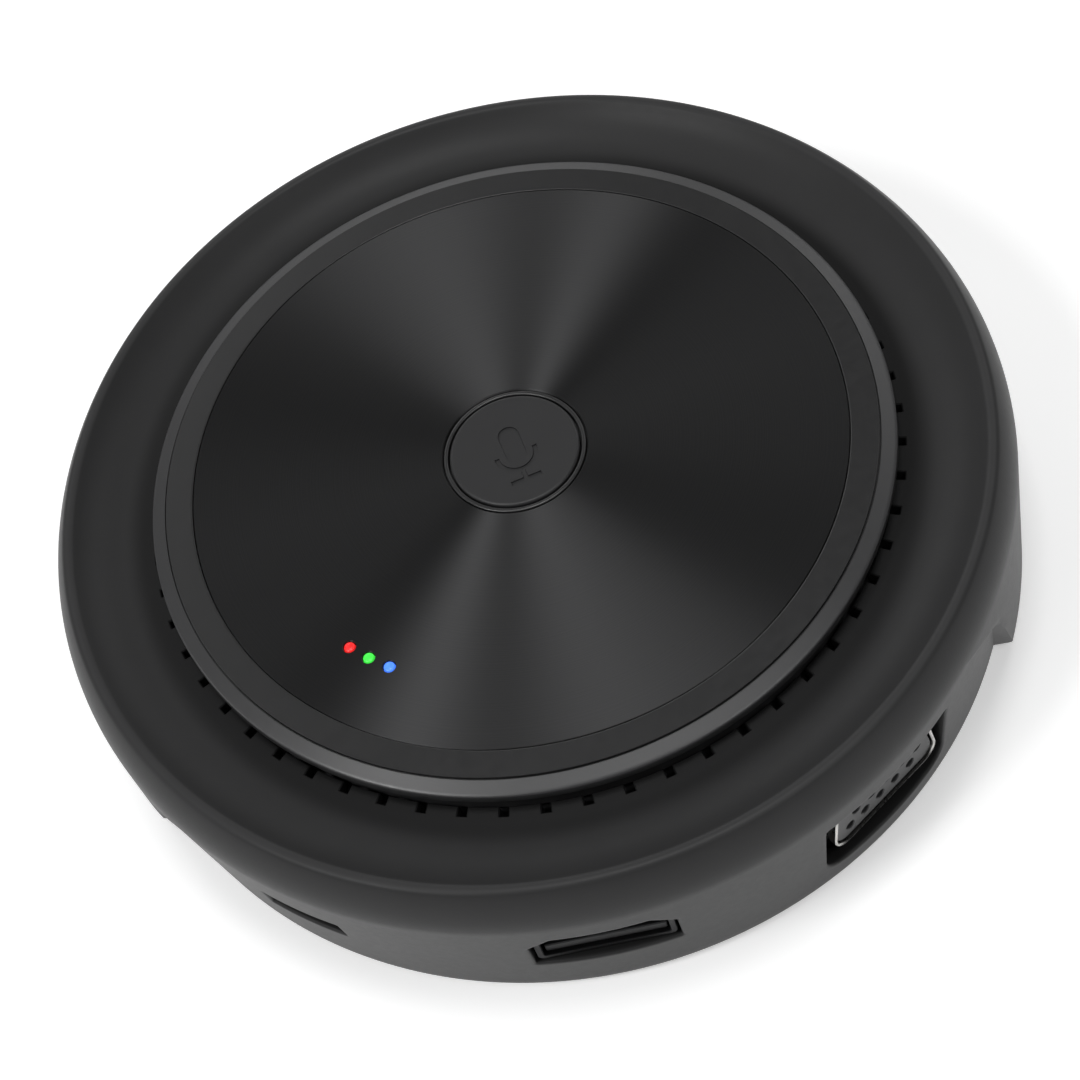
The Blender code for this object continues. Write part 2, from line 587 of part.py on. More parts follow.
def d_outline(wide, narrow, low, high, corner, shift=0.0):
    """A D-shaped outline, wide side down, with rounded corners."""
    half, top = wide / 2.0, narrow / 2.0
    points = arc((-half + corner, low + corner), corner, 190.0, 270.0, 3)
    points += arc((half - corner, low + corner), corner, 270.0, 350.0, 3)
    points += arc((top - corner, high - corner), corner, 350.0, 450.0, 3)
    points += arc((-top + corner, high - corner), corner, 90.0, 190.0, 3)
    return [(y + shift, z) for y, z in points]


def vga_port():
    """DE-15 socket: metal D shell round a plastic insert with fifteen holes."""
    wide, narrow, tall, depth, skin = 16.9 * MM, 14.4 * MM, 8.36 * MM, 6.0 * MM, 0.4 * MM
    low, high = VGA_HEIGHT - tall / 2.0, VGA_HEIGHT + tall / 2.0
    back = VGA_FACE - depth

    def outline(inset, corner):
        return d_outline(wide - 2 * inset, narrow - 2 * inset, low + inset, high - inset, corner, VGA_SHIFT)

    skirt = slab_mesh(outline(0.0, 2.2 * MM), back, VGA_FACE)
    shell = finish("vga_shell", skirt, "nickel", STEEL, VGA_AZIMUTH)
    cut(shell, slab_mesh(outline(skin, 1.8 * MM), back - MM, VGA_FACE + MM), VGA_AZIMUTH)
    face, rear = VGA_FACE - 0.3 * MM, back - FIT
    fill = slab_mesh(outline(skin + 0.15 * MM, 1.65 * MM), rear, face)
    insert = finish("vga_insert", fill, "insert", CHIP, VGA_AZIMUTH)
    under, half = MAIN_BOARD_TOP - MAIN_BOARD_THICK - FIT, 8.6 * MM
    overlap = 0.01 * MM
    block = box_mesh((38.0 * MM, VGA_SHIFT - half, low), (rear + overlap, VGA_SHIFT + half, under))
    join(insert, block, VGA_AZIMUTH)
    pitch, row, hole = 2.4 * MM, 1.9 * MM, 0.5 * MM
    holes = []
    for line in (-1, 0, 1):
        stagger = 0.25 if line == 0 else -0.25
        for place in range(-2, 3):
            y, z = (place + stagger) * pitch + VGA_SHIFT, VGA_HEIGHT + line * row
            holes.append(box_mesh((face - 3.0 * MM, y - hole, z - hole), (face + MM, y + hole, z + hole)))
    cut(insert, merged(holes), VGA_AZIMUTH)


def hdmi_port():
    """HDMI-size socket, wide side down: metal shell, and a tongue on a plastic body."""
    side, top = 7.55 * MM, 5.4 * MM
    low, shoulder, high = HDMI_HEIGHT - 3.0 * MM, HDMI_HEIGHT + 1.0 * MM, HDMI_HEIGHT + 3.0 * MM
    depth, skin = 10.5 * MM, 0.35 * MM
    back = HDMI_FACE - depth

    def outline(inset):
        slope = inset * 0.7
        return [(-side + inset, low + inset), (side - inset, low + inset), (side - inset, shoulder),
                (top - slope, high - inset), (-top + slope, high - inset), (-side + inset, shoulder)]

    shell = finish("hdmi_shell", slab_mesh(outline(0.0), back, HDMI_FACE), "dark_nickel", DARK_NICKEL,
                   HDMI_AZIMUTH)
    cut(shell, slab_mesh(outline(skin), back - MM, HDMI_FACE + MM), HDMI_AZIMUTH)
    front = HDMI_FACE - 8.0 * MM
    body = finish("hdmi_insert", slab_mesh(outline(skin + FIT), back, front), "insert", CHIP, HDMI_AZIMUTH)
    half, thick, tip = 5.7 * MM, 0.6 * MM, HDMI_FACE - 0.8 * MM
    join(body, box_mesh((front - MM, -half, HDMI_HEIGHT - thick), (tip, half, HDMI_HEIGHT + thick)),
         HDMI_AZIMUTH)


def obround(half_wide, half_tall, height):
    """A flat slot outline with round ends."""
    reach = half_wide - half_tall
    right = arc((reach, height), half_tall, -90.0, 90.0, 7)
    left = arc((-reach, height), half_tall, 90.0, 270.0, 7)
    return right + left


def usb_port():
    """USB-C socket: drawn shell with a thin tongue, on a riser under the board."""
    depth, skin = 8.0 * MM, 0.25 * MM
    half_wide, half_tall = 4.47 * MM, 1.63 * MM
    back = USB_FACE - depth

    def outline(inset):
        return obround(half_wide - inset, half_tall - inset, USB_HEIGHT)

    shell = finish("usb_c_shell", slab_mesh(outline(0.0), back, USB_FACE), "dark_nickel", DARK_NICKEL,
                   USB_AZIMUTH)
    cut(shell, slab_mesh(outline(skin), back - MM, USB_FACE + MM), USB_AZIMUTH)
    front, rear = USB_FACE - 6.2 * MM, back - 0.6 * MM
    body = finish("usb_c_insert", slab_mesh(outline(skin + FIT), rear, front), "insert", CHIP, USB_AZIMUTH)
    half, thick, tip = 3.3 * MM, 0.35 * MM, USB_FACE - 0.6 * MM
    join(body, box_mesh((front - MM, -half, USB_HEIGHT - thick), (tip, half, USB_HEIGHT + thick)),
         USB_AZIMUTH)
    under, riser = MAIN_BOARD_TOP - MAIN_BOARD_THICK - FIT, 4.4 * MM
    join(body, box_mesh((rear - 2.0 * MM, -riser, USB_HEIGHT - half_tall), (rear + 0.2 * MM, riser, under)),
         USB_AZIMUTH)


def main():
    for item in list(bpy.data.objects):
        bpy.data.objects.remove(item)
    for build in (
        upper_housing, base_plate, rubber_foot, base_screws, bezel, brushed_disc, button, tact_switch,
        indicator_lights, top_board, microphones, carrier, flex_cable, acoustic_baffle, speaker_screws,
        speaker_frame, speaker_motor, speaker_moving_parts, speaker_suspension, main_board, board_parts,
        vga_port, hdmi_port, usb_port,
    ):
        build()


main()
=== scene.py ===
"""Looks of the conference speakerphone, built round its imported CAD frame.

The object stands on Z = 0 with its port bay facing -Y. Sizes in the functions are millimetres and are
turned into metres where a mesh is made."""

import json
import math

import bmesh
import bpy
from mathutils import Matrix, Vector
from mathutils.geometry import delaunay_2d_cdt


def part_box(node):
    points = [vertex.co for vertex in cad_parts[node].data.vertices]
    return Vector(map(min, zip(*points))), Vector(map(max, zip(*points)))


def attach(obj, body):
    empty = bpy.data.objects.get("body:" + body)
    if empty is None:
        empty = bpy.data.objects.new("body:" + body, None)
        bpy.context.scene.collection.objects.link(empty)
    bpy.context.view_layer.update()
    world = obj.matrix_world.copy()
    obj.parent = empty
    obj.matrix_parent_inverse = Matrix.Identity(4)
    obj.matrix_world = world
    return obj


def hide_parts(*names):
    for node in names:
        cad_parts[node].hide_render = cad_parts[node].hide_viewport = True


MM = 0.001
SHARP_ANGLE = math.radians(32.0)
RANGE_SOCKETS = ("From Min", "From Max", "To Min", "To Max")
NOISE_SPAN = (0.28, 0.72)  # where nearly all of a noise's values lie

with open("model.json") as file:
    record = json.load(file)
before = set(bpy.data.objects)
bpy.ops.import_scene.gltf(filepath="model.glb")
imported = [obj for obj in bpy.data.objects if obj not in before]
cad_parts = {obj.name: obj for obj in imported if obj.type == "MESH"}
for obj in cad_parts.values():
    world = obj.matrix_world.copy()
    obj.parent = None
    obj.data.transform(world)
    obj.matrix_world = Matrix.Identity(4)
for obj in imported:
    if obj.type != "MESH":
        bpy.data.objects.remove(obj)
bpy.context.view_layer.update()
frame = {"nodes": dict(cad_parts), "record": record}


def node_low(node, axis):
    """Lowest coordinate of a CAD node along an axis, in millimetres."""
    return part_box(node)[0][axis] / MM


def node_high(node, axis):
    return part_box(node)[1][axis] / MM


def node_centre(node):
    """Middle of a CAD node, seen from above, in millimetres."""
    low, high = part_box(node)
    return (0.5 * (low[0] + high[0]) / MM, 0.5 * (low[1] + high[1]) / MM)


# Driving sizes, read from the frame
WALL_RADIUS = node_high("upper_housing", 1)
DISC_TOP = node_high("brushed_disc", 2)
DISC_RADIUS = node_high("brushed_disc", 0)
DISC_UNDER = node_low("brushed_disc", 2)
BEZEL_RADIUS = node_high("bezel", 0)
RIM = node_low("upper_housing", 2)
FLOOR_TOP = node_high("base_plate", 2)

BOSS_RADIUS, BOSS_ANGLES = 46.3, (-15.0, 50.0, 130.0, -165.0)
VGA_FACE, VGA_HEIGHT, VGA_SHIFT = 52.3, 10.1, 0.7
HDMI_FACE, HDMI_HEIGHT = 52.9, 12.05
USB_FACE, USB_HEIGHT = 51.7, 11.95
BOARD_UNDER = 16.4
# Head height, shank radius and whether the tip points up, for each kind of screw
SCREWS = {"base": (0.8, 0.9, True), "carrier": (0.8, 0.8, False), "speaker": (0.7, 0.8, False),
          "board": (0.8, 0.8, True)}
SCREW_COUNTS = {"base": 4, "carrier": 3, "speaker": 4, "board": 3}
LAMPS = ("red", "green", "blue")
MARK_TURN = 12.0  # degrees
MARK_SCALE = 1.45

# Finishes
HOUSING_COLOR = (0.033, 0.033, 0.0335)
CHANNEL_SHADE = (44.0, 46.8, 0.40, 1.0)  # radii in mm, then the tone's share at each: painted shade in the channel under the bezel's overhang
HOUSING_GLOSS = 0.15
CREST_HIGHLIGHT = 1.3  # along the crest, a painted highlight
CREST_INNER, CREST_OUTER = (51.7, 52.2), (52.6, 52.95)  # radii in mm where that starts and ends
MOUTH_SHADE = (0.15, 0.7, 1.0, 0.40)  # depths in mm behind the bay's wall, then the tone's share at each: painted shade in the ports' recessed mouths
# heights in mm over which that painted shade of the ports' mouths fades out above the ports
ABOVE_PORTS = (16.8, 17.6)
BEZEL_COLOR = (0.014, 0.014, 0.0145)
CHAMFER = (40.60, 40.68)
# the chamfer's base colour is raised by a factor: a painted highlight
CHAMFER_HIGHLIGHT, CHAMFER_ROUGHNESS = 2.6, 1.1
LOW_EDGE_SHADE = (6.3, 7.3, 0.12)  # heights in mm, then the tone's share at the lower: painted shade along the nickel's lowest edge
CAP_COLOR = (0.020, 0.020, 0.021)
INSERT_COLOR = (0.045, 0.045, 0.046)
DISC_COLOR = (0.060, 0.060, 0.061)
DISC_ROUGHNESS, DISC_ANISOTROPY = 0.50, 0.95
LAMP_GLOW = 0.95
FLOOR_GLOW = 0.42


# ---- Camera, floor and light ---------------------------------------------------------------------

CAMERA_PLACE = (0.02407, -0.15642, 0.24550)
CAMERA_HEADING = math.radians(9.0)  # from +Y towards -X
CAMERA_DOWN = math.radians(56.35)  # below the horizon
CAMERA_ROLL = math.radians(-19.70)
CAMERA_LENS = 80.74


# Azimuth and elevation in degrees, distance and side in metres, power in watts
SOFTBOXES = (
    (-180.0, 20.0, 1.0, 0.35, 0.8),
    (-151.0, 53.0, 1.0, 0.20, 2.9),
    (-135.0, 45.0, 1.0, 0.30, 0.8),
    (-42.0, 50.0, 0.3, 0.12, 0.14),
    (45.0, 45.0, 1.0, 0.35, 0.5),
    (60.0, 30.0, 1.0, 0.35, 0.6),
    (90.0, 20.0, 1.0, 0.35, 0.42),
    (110.0, 30.0, 1.0, 0.35, 0.75),
    (135.0, 45.0, 1.0, 0.35, 0.4),
    (0.0, 90.0, 1.0, 0.22, 2.4),
)
SKY_GLOW = 0.04
HORIZON = (0.05, 0.22)  # upward share of the direction over which the white horizon fades to the sky's glow
FLOOR_REACH = 4.0  # metres


def camera():
    data = bpy.data.cameras.new("camera")
    data.lens = CAMERA_LENS
    data.sensor_width = 36.0
    data.clip_start = 0.01
    data.clip_end = 50.0
    made = bpy.data.objects.new("camera", data)
    bpy.context.scene.collection.objects.link(made)
    tilt = Matrix.Rotation(math.pi / 2.0 - CAMERA_DOWN, 4, "X")
    turn = Matrix.Rotation(CAMERA_HEADING, 4, "Z")
    roll = Matrix.Rotation(CAMERA_ROLL, 4, "Z")
    made.matrix_world = Matrix.Translation(CAMERA_PLACE) @ turn @ tilt @ roll
    bpy.context.scene.camera = made


def area_light(name, azimuth, elevation, distance, size, power):
    """A softbox aimed at the disc from a direction in degrees."""
    data = bpy.data.lights.new(name, "AREA")
    data.shape = "RECTANGLE"
    data.size = size
    data.size_y = size
    data.energy = power
    made = bpy.data.objects.new(name, data)
    a, e = math.radians(azimuth), math.radians(elevation)
    towards = Vector((math.cos(a) * math.cos(e), math.sin(a) * math.cos(e), math.sin(e)))
    aim = Vector((0.0, 0.0, DISC_TOP * MM))
    made.location = aim + towards * distance
    made.rotation_euler = (-towards).to_track_quat("-Z", "Y").to_euler()
    bpy.context.scene.collection.objects.link(made)
    return made


def backdrop():
    """World that is white at the horizon and nearly dark overhead, so that the softboxes do the lighting."""
    world = bpy.data.worlds.new("studio")
    bpy.context.scene.world = world
    world.use_nodes = True
    tree = world.node_tree
    parts = tree.nodes.new("ShaderNodeSeparateXYZ")
    tree.links.new(tree.nodes.new("ShaderNodeTexCoord").outputs["Generated"], parts.inputs[0])
    fade = tree.nodes.new("ShaderNodeMapRange")
    for socket, number in zip(RANGE_SOCKETS, (*HORIZON, 1.0, SKY_GLOW)):
        fade.inputs[socket].default_value = number
    tree.links.new(parts.outputs["Z"], fade.inputs["Value"])
    tree.links.new(fade.outputs["Result"], tree.nodes["Background"].inputs["Strength"])
    tree.nodes["Background"].inputs["Color"].default_value = (1.0, 1.0, 1.0, 1.0)


def studio():
    """Plain pale floor and soft lights."""
    backdrop()
    for i, (azimuth, elevation, distance, size, power) in enumerate(SOFTBOXES, 1):
        area_light(f"softbox_{i}", azimuth, elevation, distance, size, power)

    mesh = bpy.data.meshes.new("floor")
    corners = [(x, y, 0.0) for x, y in oblong(-FLOOR_REACH, FLOOR_REACH, -FLOOR_REACH, FLOOR_REACH)]
    mesh.from_pydata(corners, [], [(0, 1, 2, 3)])
    floor = bpy.data.objects.new("floor", mesh)
    bpy.context.scene.collection.objects.link(floor)
    floor.data.materials.append(pale_floor())


# ---- Looks ---------------------------------------------------------------------------------------

class Look:
    """A Principled material whose detail comes from nodes laid out in object space."""

    def __init__(self, name, color, roughness, metallic=0.0, **sockets):
        self.material = bpy.data.materials.new(name)
        self.material.use_nodes = True
        self.tree = self.material.node_tree
        self.shader = next(n for n in self.tree.nodes if n.type == "BSDF_PRINCIPLED")
        self.shader.inputs["Base Color"].default_value = (*color, 1.0)
        self.shader.inputs["Roughness"].default_value = roughness
        self.shader.inputs["Metallic"].default_value = metallic
        for socket, value in sockets.items():
            self.shader.inputs[socket.replace("_", " ")].default_value = value
        self.color = color
        self.place = self.tree.nodes.new("ShaderNodeTexCoord").outputs["Object"]
        self.normal = None

    def math(self, operation, *values):
        node = self.tree.nodes.new("ShaderNodeMath")
        node.operation = operation
        for socket, value in zip(node.inputs, values):
            if isinstance(value, float):
                socket.default_value = value
            else:
                self.tree.links.new(value, socket)
        return node.outputs[0]

    def noise(self, size, detail=3.0, roughness=0.5, stretch=(1.0, 1.0, 1.0)):
        """Noise from 0 to 1 with features of that size in millimetres."""
        spread = self.tree.nodes.new("ShaderNodeVectorMath")
        spread.operation = "MULTIPLY"
        spread.inputs[1].default_value = [1.0 / (size * MM * s) for s in stretch]
        self.tree.links.new(self.place, spread.inputs[0])
        node = self.tree.nodes.new("ShaderNodeTexNoise")
        node.inputs["Scale"].default_value = 1.0
        node.inputs["Detail"].default_value = detail
        node.inputs["Roughness"].default_value = roughness
        self.tree.links.new(spread.outputs[0], node.inputs["Vector"])
        return node.outputs["Fac"]

    def cells(self, size, feature="F1"):
        """Distance to the nearest of scattered points, for pebbled skins."""
        node = self.tree.nodes.new("ShaderNodeTexVoronoi")
        node.feature = feature
        node.inputs["Scale"].default_value = 1.0 / (size * MM)
        self.tree.links.new(self.place, node.inputs["Vector"])
        return node.outputs["Distance"]

    def radius(self):
        """Distance from the vertical axis in millimetres."""
        flat = self.tree.nodes.new("ShaderNodeVectorMath")
        flat.operation = "MULTIPLY"
        flat.inputs[1].default_value = (1.0 / MM, 1.0 / MM, 0.0)
        self.tree.links.new(self.place, flat.inputs[0])
        length = self.tree.nodes.new("ShaderNodeVectorMath")
        length.operation = "LENGTH"
        self.tree.links.new(flat.outputs[0], length.inputs[0])
        return length.outputs["Value"]

    def height(self):
        """Height in millimetres."""
        split = self.tree.nodes.new("ShaderNodeSeparateXYZ")
        self.tree.links.new(self.place, split.inputs[0])
        return self.math("MULTIPLY", split.outputs["Z"], 1.0 / MM)

    def rings(self, size, detail=4.0):
        """Noise that changes only with the distance from the vertical axis, like turning marks."""
        node = self.tree.nodes.new("ShaderNodeTexNoise")
        node.noise_dimensions = "1D"
        node.inputs["Scale"].default_value = 1.0
        node.inputs["Detail"].default_value = detail
        self.tree.links.new(self.math("MULTIPLY", self.radius(), 1.0 / size), node.inputs["W"])
        return node.outputs["Fac"]

    def ranged(self, value, low, high):
        """Spread a noise's usual span over low to high."""
        return self.graded(value, *NOISE_SPAN, low, high, "LINEAR")

    def graded(self, value, start, end, low, high, curve="SMOOTHSTEP"):
        """A step from low to high while a value goes from start to end."""
        node = self.tree.nodes.new("ShaderNodeMapRange")
        node.interpolation_type = curve
        for socket, number in zip(RANGE_SOCKETS, (start, end, low, high)):
            node.inputs[socket].default_value = number
        self.tree.links.new(value, node.inputs["Value"])
        return node.outputs["Result"]

    def rough(self, value, low, high):
        self.tree.links.new(self.ranged(value, low, high), self.shader.inputs["Roughness"])
        return self

    def tint(self, value, low, high):
        """Base colour scaled between low and high by a value."""
        mix = self.tree.nodes.new("ShaderNodeMix")
        mix.data_type = "RGBA"
        mix.inputs[6].default_value = (*[c * low for c in self.color], 1.0)
        mix.inputs[7].default_value = (*[min(c * high, 1.0) for c in self.color], 1.0)
        self.tree.links.new(self.ranged(value, 0.0, 1.0), mix.inputs[0])
        self.tree.links.new(mix.outputs[2], self.shader.inputs["Base Color"])
        return self

    def shade(self, *values):
        """Base colour scaled by the product of values."""
        share = values[0]
        for value in values[1:]:
            share = self.math("MULTIPLY", share, value)
        tone = self.tree.nodes.new("ShaderNodeVectorMath")
        tone.operation = "SCALE"
        tone.inputs[0].default_value = self.color
        self.tree.links.new(share, tone.inputs["Scale"])
        self.tree.links.new(tone.outputs[0], self.shader.inputs["Base Color"])
        return self

    def bump(self, height, depth, strength=1.0):
        """Add relief of that depth in millimetres."""
        node = self.tree.nodes.new("ShaderNodeBump")
        node.inputs["Distance"].default_value = depth * MM
        node.inputs["Strength"].default_value = strength
        self.tree.links.new(height, node.inputs["Height"])
        if self.normal is not None:
            self.tree.links.new(self.normal, node.inputs["Normal"])
        self.normal = node.outputs["Normal"]
        self.tree.links.new(self.normal, self.shader.inputs["Normal"])
        return self

    def turned_grain(self, rotation=0.25):
        """Highlights spread across marks that run round the vertical axis."""
        tangent = self.tree.nodes.new("ShaderNodeTangent")
        tangent.direction_type = "RADIAL"
        tangent.axis = "Z"
        self.tree.links.new(tangent.outputs[0], self.shader.inputs["Tangent"])
        self.shader.inputs["Anisotropic Rotation"].default_value = rotation
        return self


def moulded(name, color, roughness, grain, relief, **sockets):
    """Moulded plastic: an eroded grain, cloudy gloss and slight tone changes."""
    look = Look(name, color, roughness, **sockets)
    look.tint(look.noise(6.0, 4.0), 0.97, 1.03)
    look.rough(look.noise(0.9, 4.0, 0.6), roughness - 0.02, roughness + 0.02)
    look.bump(look.noise(grain, 2.0, 0.6), relief).bump(look.noise(14.0, 1.0), relief)
    return look.material


def metal(name, color, roughness, scratch=0.3, **sockets):
    """Plated or bare metal: faint clouding, drawn scratches and a rippled surface."""
    look = Look(name, color, roughness, 1.0, **sockets)
    look.tint(look.noise(1.2, 4.0), 0.88, 1.06)
    look.rough(look.noise(0.8, 5.0, 0.65, (1.0, 1.0, 4.0)), roughness - 0.08, roughness + 0.1)
    look.bump(look.noise(scratch, 3.0, 0.6, (1.0, 1.0, 6.0)), 0.003)
    return look.material


def rubber(name, color):
    look = Look(name, color, 0.85, Sheen_Weight=0.15)
    look.tint(look.noise(3.0, 4.0), 0.85, 1.15)
    look.rough(look.noise(1.0, 4.0), 0.74, 0.92)
    look.bump(look.noise(0.2, 4.0, 0.7), 0.03).bump(look.noise(4.0, 2.0), 0.04)
    return look.material


def housing_finish():
    """Matte moulded plastic with a fine eroded grain, with painted shade in the vented channel and in the
    ports' mouths, and a painted highlight along the crest.
    """
    look = Look("housing_plastic", HOUSING_COLOR, 0.42, Specular_IOR_Level=HOUSING_GLOSS)
    radius, height = look.radius(), look.height()
    slope = BAY_DEPTH / (BAY_TOP - RIM)
    surface = look.math("ADD", look.math("MULTIPLY", height, slope), WALL_RADIUS - slope * BAY_TOP)
    # painted shade in the ports' mouths, up to the ABOVE_PORTS heights
    mouth = look.graded(look.math("SUBTRACT", surface, radius), *MOUTH_SHADE)
    above = look.graded(height, *ABOVE_PORTS, 0.0, 1.0)
    # painted highlight: the base colour raised in a band along the crest
    crest = look.math("MULTIPLY", look.graded(radius, *CREST_INNER, 1.0, CREST_HIGHLIGHT),
                      look.graded(radius, *CREST_OUTER, 1.0, 1.0 / CREST_HIGHLIGHT))
    # painted shade in the vented channel, where the bezel's shadow falls, scales the base colour with the other
    # marks
    look.shade(look.graded(radius, *CHANNEL_SHADE), look.math("MAXIMUM", mouth, above), crest,
               look.ranged(look.noise(6.0, 4.0), 0.97, 1.03))
    look.rough(look.noise(0.9, 4.0, 0.6), 0.40, 0.44)
    look.bump(look.noise(0.20, 2.0, 0.6), 0.008).bump(look.noise(14.0, 1.0), 0.008)
    return look.material


def bezel_finish():
    """Satin ring whose outer chamfer is painted paler, a painted highlight."""
    look = Look("bezel_satin", BEZEL_COLOR, 0.34, Specular_IOR_Level=0.7)
    radius = look.radius()
    satin = look.ranged(look.noise(0.9, 4.0, 0.6), 0.32, 0.37)
    dull = look.graded(radius, *CHAMFER, 1.0, CHAMFER_ROUGHNESS)
    look.tree.links.new(look.math("MULTIPLY", satin, dull), look.shader.inputs["Roughness"])
    # painted highlight: the base colour raised on the chamfer
    look.shade(look.graded(radius, *CHAMFER, 1.0, CHAMFER_HIGHLIGHT), look.ranged(look.noise(6.0, 4.0), 0.97, 1.03))
    look.bump(look.noise(0.12, 2.0, 0.6), 0.002)
    return look.material


def nickel_plate():
    """Bright nickel, with painted shade along its lowest edge."""
    look = Look("nickel_plate", (0.58, 0.57, 0.55), 0.28, 1.0)
    # painted shade: the base colour darkened towards the lowest edge
    look.shade(look.graded(look.height(), *LOW_EDGE_SHADE, 1.0), look.ranged(look.noise(1.2, 4.0), 0.88, 1.06))
    look.rough(look.noise(0.8, 5.0, 0.65, (1.0, 1.0, 4.0)), 0.20, 0.38)
    look.bump(look.noise(0.3, 3.0, 0.6, (1.0, 1.0, 6.0)), 0.003)
    return look.material


def anodised_disc():
    look = Look("turned_anodised", DISC_COLOR, DISC_ROUGHNESS, 1.0, Anisotropic=DISC_ANISOTROPY)
    look.turned_grain()
    look.tint(look.rings(0.10, 5.0), 0.90, 1.10)
    look.rough(look.rings(0.16, 5.0), DISC_ROUGHNESS - 0.02, DISC_ROUGHNESS + 0.02)
    look.bump(look.rings(0.12, 4.0), 0.0015).bump(look.noise(14.0, 1.0), 0.004)
    return look.material


def lamp(name, color, strength):
    """Clear pipe lit from below, its glow varying a little across its dome."""
    look = Look(name, color, 0.35)
    look.shader.inputs["Emission Color"].default_value = (*color, 1.0)
    look.shader.inputs["Emission Strength"].default_value = strength
    look.tree.links.new(look.ranged(look.noise(0.25, 3.0), 0.85 * strength, 1.15 * strength),
                        look.shader.inputs["Emission Strength"])
    look.bump(look.noise(0.3, 2.0), 0.01)
    return look.material


def circuit_board():
    look = Look("board_mask", (0.012, 0.085, 0.040), 0.38, Coat_Weight=0.4, Coat_Roughness=0.2)
    look.tint(look.cells(1.6), 0.75, 1.25)
    look.rough(look.noise(0.7, 4.0), 0.3, 0.48)
    look.bump(look.cells(1.6), 0.03).bump(look.noise(0.12, 2.0), 0.004)
    return look.material


def woven(name, color, thread):
    """Cloth or paper fibre: threads both ways round the cone."""
    look = Look(name, color, 0.9, Sheen_Weight=0.25)
    look.tint(look.noise(thread, 5.0, 0.7), 0.75, 1.2)
    look.rough(look.noise(2.0 * thread, 3.0), 0.8, 0.98)
    look.bump(look.noise(thread, 4.0, 0.7, (1.0, 1.0, 3.0)), 0.06).bump(look.rings(thread), 0.05)
    return look.material


def winding():
    look = Look("copper_winding", (0.60, 0.26, 0.10), 0.3, 1.0, Coat_Weight=0.5, Coat_Roughness=0.15)
    look.tint(look.noise(0.3, 4.0, 0.5, (4.0, 4.0, 1.0)), 0.75, 1.15)
    look.rough(look.noise(0.5, 3.0), 0.22, 0.4)
    look.bump(look.noise(0.12, 1.0, 0.3, (30.0, 30.0, 1.0)), 0.04)
    return look.material


def ferrite():
    look = Look("ferrite", (0.045, 0.045, 0.05), 0.55, 0.2)
    look.tint(look.noise(0.5, 6.0, 0.7), 0.7, 1.3)
    look.rough(look.noise(0.4, 4.0), 0.42, 0.68)
    look.bump(look.noise(0.25, 5.0, 0.7), 0.03)
    return look.material


def pale_floor():
    look = Look("pale_floor", (0.9, 0.9, 0.9), 0.9)
    look.shader.inputs["Emission Color"].default_value = (1.0, 1.0, 1.0, 1.0)
    look.shader.inputs["Emission Strength"].default_value = FLOOR_GLOW
    look.rough(look.noise(40.0), 0.85, 0.95)
    return look.material


def all_looks():
    """One look for each material slot in the record."""
    return {
        "housing": housing_finish(),
        "base": moulded("base_plastic", (0.014, 0.014, 0.015), 0.6, 0.28, 0.016),
        "bezel": bezel_finish(),
        "button": moulded("cap_satin", CAP_COLOR, 0.45, 0.10, 0.004),
        "inner_plastic": moulded("inner_plastic", (0.03, 0.03, 0.032), 0.55, 0.3, 0.012),
        "insert": moulded("insert_plastic", INSERT_COLOR, 0.42, 0.15, 0.004),
        "switch_plunger": moulded("plunger_plastic", (0.5, 0.48, 0.44), 0.4, 0.1, 0.003),
        "chip": moulded("epoxy_black", (0.012, 0.012, 0.013), 0.5, 0.12, 0.008),
        "rubber": rubber("soft_rubber", (0.014, 0.014, 0.014)),
        "disc": anodised_disc(),
        "nickel": nickel_plate(),
        "dark_nickel": metal("dark_nickel_plate", (0.020, 0.020, 0.021), 0.45),
        "screw": metal("zinc_screw", (0.42, 0.42, 0.43), 0.34, 0.2),
        "can": metal("tinned_can", (0.55, 0.55, 0.54), 0.3, 0.4),
        "speaker_steel": metal("plated_steel", (0.45, 0.46, 0.48), 0.38, 0.4),
        "light_red": lamp("lamp_red", (0.62, 0.014, 0.014), LAMP_GLOW),
        "light_green": lamp("lamp_green", (0.04, 0.60, 0.05), LAMP_GLOW),
        "light_blue": lamp("lamp_blue", (0.06, 0.20, 0.95), LAMP_GLOW),
        "board": circuit_board(),
        "flex": moulded("polyimide", (0.45, 0.20, 0.04), 0.32, 0.2, 0.004, Coat_Weight=0.3),
        "ferrite": ferrite(),
        "coil": winding(),
        "cone": woven("pressed_paper", (0.035, 0.034, 0.033), 0.25),
        "spider": woven("spider_cloth", (0.42, 0.30, 0.12), 0.5),
    }


# ---- Mesh making ---------------------------------------------------------------------------------

